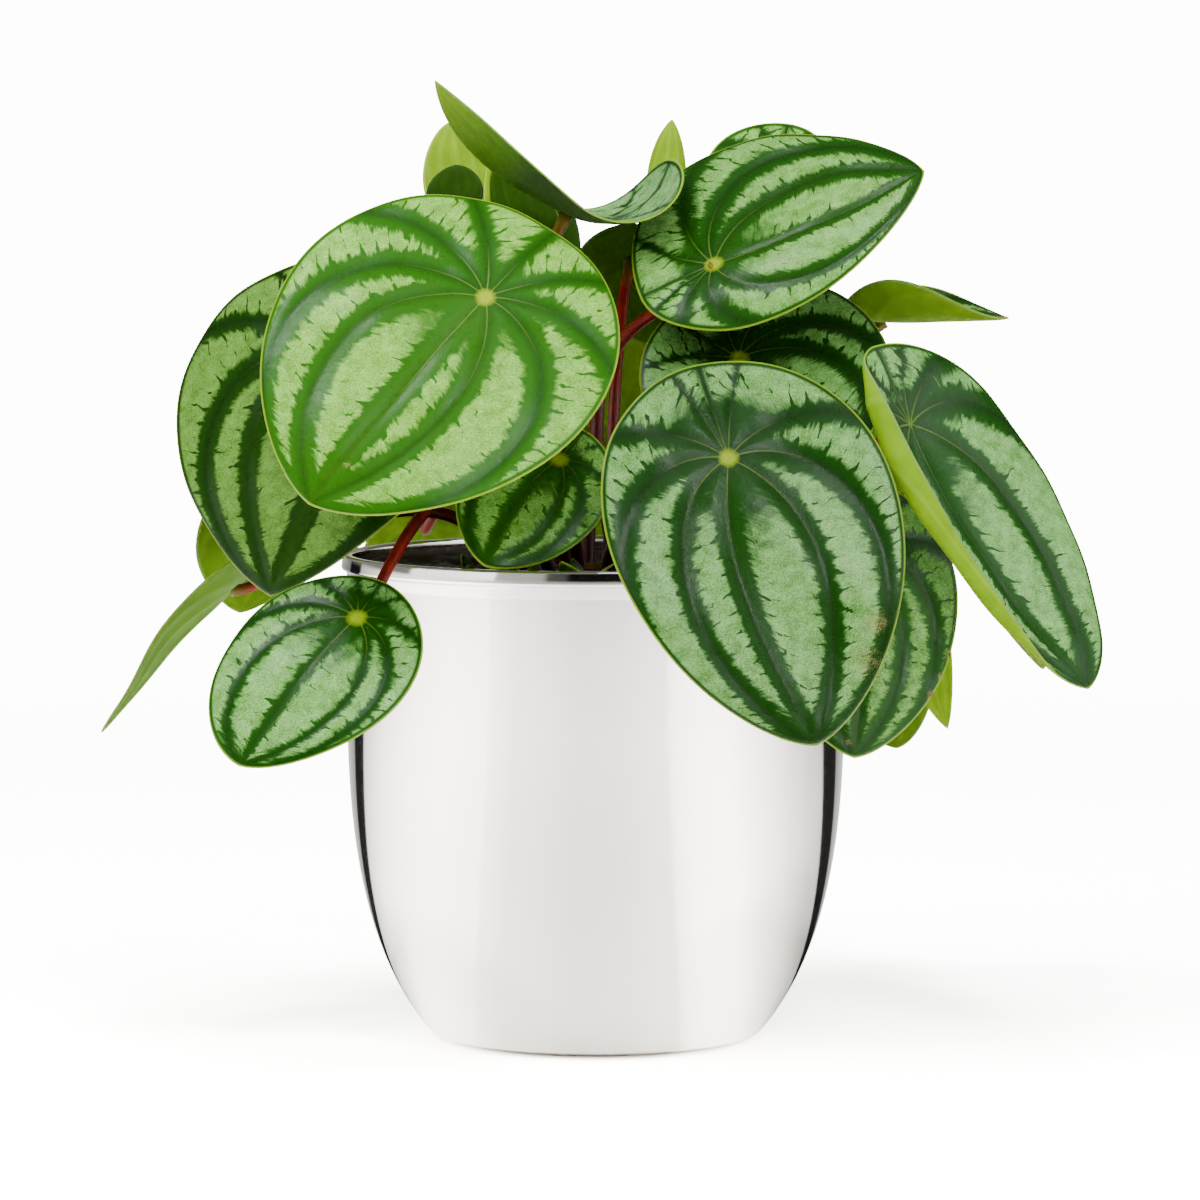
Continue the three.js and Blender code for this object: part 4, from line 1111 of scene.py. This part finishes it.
def white_sweep():
    """Matt white paper, lit up to near white for the camera, as a sweep with its own lamps is.
    To reflected rays it shows a painted reflection: soft bright and dark bands, as lamps and dark
    flags beside the pot would give."""
    material, tree = new_material("white paper sweep")
    seen = add(tree, "LightPath", out="Is Camera Ray")
    mirrored = seen.node.outputs["Is Glossy Ray"]
    place = add(tree, "TexCoord", out="Object")
    away = add(tree, "VectorMath", {0: place}, out="Value", operation="LENGTH")
    x = add(tree, "SeparateXYZ", {0: place})
    y, z = x.node.outputs[1], x.node.outputs[2]
    front = add(tree, "Math", {0: y, 1: -1}, operation="MULTIPLY")
    turn = add(tree, "Math", {0: x, 1: front}, operation="ARCTAN2")
    on_wall = add(tree, "MapRange", {"Value": z, "From Min": 0.2, "From Max": 0.5})
    painted_floor = banded(tree, turn, PAINTED_FLOOR_BANDS)
    painted_wall = banded(tree, turn, PAINTED_WALL_BANDS)
    bands = add(tree, "Mix", {0: on_wall, 2: painted_floor, 3: painted_wall}, data_type="FLOAT")
    # Painted reflection: reflected rays see the paper brightened or darkened by the bands.
    painted_reflection = add(tree, "Mix", {0: mirrored, 2: 1.0, 3: bands}, data_type="FLOAT")
    lifted = add(tree, "Mix", {0: seen, 2: painted_reflection, 3: SWEEP_LIFT}, data_type="FLOAT")
    paper = add(tree, "VectorMath", {0: linear("#efedea")[:3], "Scale": lifted}, operation="SCALE")
    near_floor = add(tree, "BsdfDiffuse", {"Color": paper})
    far = add(tree, "MapRange", {
        "Value": away, "From Min": 0.45, "From Max": 1.2,
    }, interpolation_type="SMOOTHSTEP")
    glow = add(tree, "Emission", {"Color": linear("#fffdf9"), "Strength": SWEEP_GLOW})
    lit = add(tree, "Math", {0: far, 1: seen}, operation="MULTIPLY")
    surface = add(tree, "MixShader", {0: lit, 1: near_floor, 2: glow})
    add(tree, "OutputMaterial", {"Surface": surface})
    return material


def soft_box(name, place, size, power, colour, mirrored=True):
    """An area light, so wide and so high, that faces the plant and that the camera doesn't see."""
    light = bpy.data.lights.new(name, "AREA")
    light.shape = "RECTANGLE"
    light.size, light.size_y = size
    light.energy = power
    light.color = linear(colour)[:3]
    lamp = bpy.data.objects.new(name, light)
    bpy.context.collection.objects.link(lamp)
    lamp.location = place
    aim = np.array([0, 0, 0.17]) - place
    lamp.rotation_euler = (
        math.acos(-aim[2] / np.linalg.norm(aim)), 0, math.atan2(aim[1], aim[0]) - math.pi / 2,
    )
    lamp.visible_camera = False
    lamp.visible_glossy = mirrored


sweep_profile = np.vstack([
    np.column_stack([np.linspace(0, SWEEP_FLAT, 20), np.zeros(20)]),
    arc((SWEEP_FLAT, SWEEP_CURVE), SWEEP_CURVE, -85, 0, 12),
    [[SWEEP_FLAT + SWEEP_CURVE, SWEEP_HEIGHT]],
])
sweep_around = np.linspace(0, 2 * np.pi, SWEEP_SIDES)
sweep_points = np.stack([
    np.outer(sweep_profile[:, 0], np.cos(sweep_around)),
    np.outer(sweep_profile[:, 0], np.sin(sweep_around)),
    np.repeat(sweep_profile[:, 1:], SWEEP_SIDES, axis=1),
], axis=-1)
sweep_index = np.arange(sweep_points[..., 0].size).reshape(sweep_points.shape[:2])
sweep_faces = np.stack([
    sweep_index[:-1, :-1], sweep_index[1:, :-1], sweep_index[1:, 1:], sweep_index[:-1, 1:],
], axis=-1).reshape(-1, 4)
sweep_mesh = bpy.data.meshes.new("sweep")
sweep_mesh.from_pydata(sweep_points.reshape(-1, 3).tolist(), [], sweep_faces.tolist())
sweep_mesh.shade_smooth()
sweep_mesh.materials.append(white_sweep())
sweep = bpy.data.objects.new("sweep", sweep_mesh)
bpy.context.collection.objects.link(sweep)

soft_box("key soft box", (-1.0, -1.3, 1.6), (1.0, 1.0), 38, "#fffdfa", mirrored=False)
soft_box("top soft box", (0, -0.5, 1.9), (0.9, 0.9), 20, "#ffffff", mirrored=False)
soft_box("front strip box", (0.47, -1.6, 1.68), (0.2, 0.7), 16, "#fdfdff")
soft_box("left strip box", (-0.73, -0.46, 1.85), (0.3, 0.3), 13, "#fdfdff")
soft_box("high strip box", (0.15, -0.85, 1.92), (0.25, 0.25), 1.5, "#fdfdff")
soft_box("right soft box", (1.45, -0.45, 1.3), (0.8, 0.8), 10, "#fdfdff")
soft_box("low right box", (1.2, -1.35, 0.9), (0.4, 0.4), 6, "#fdfdff")

world = bpy.data.worlds.new("studio")
world.use_nodes = True
world.node_tree.nodes.clear()
air = add(world.node_tree, "Background", {"Color": linear("#fffefc"), "Strength": 0.25})
add(world.node_tree, "OutputWorld", {"Surface": air})
bpy.context.scene.world = world
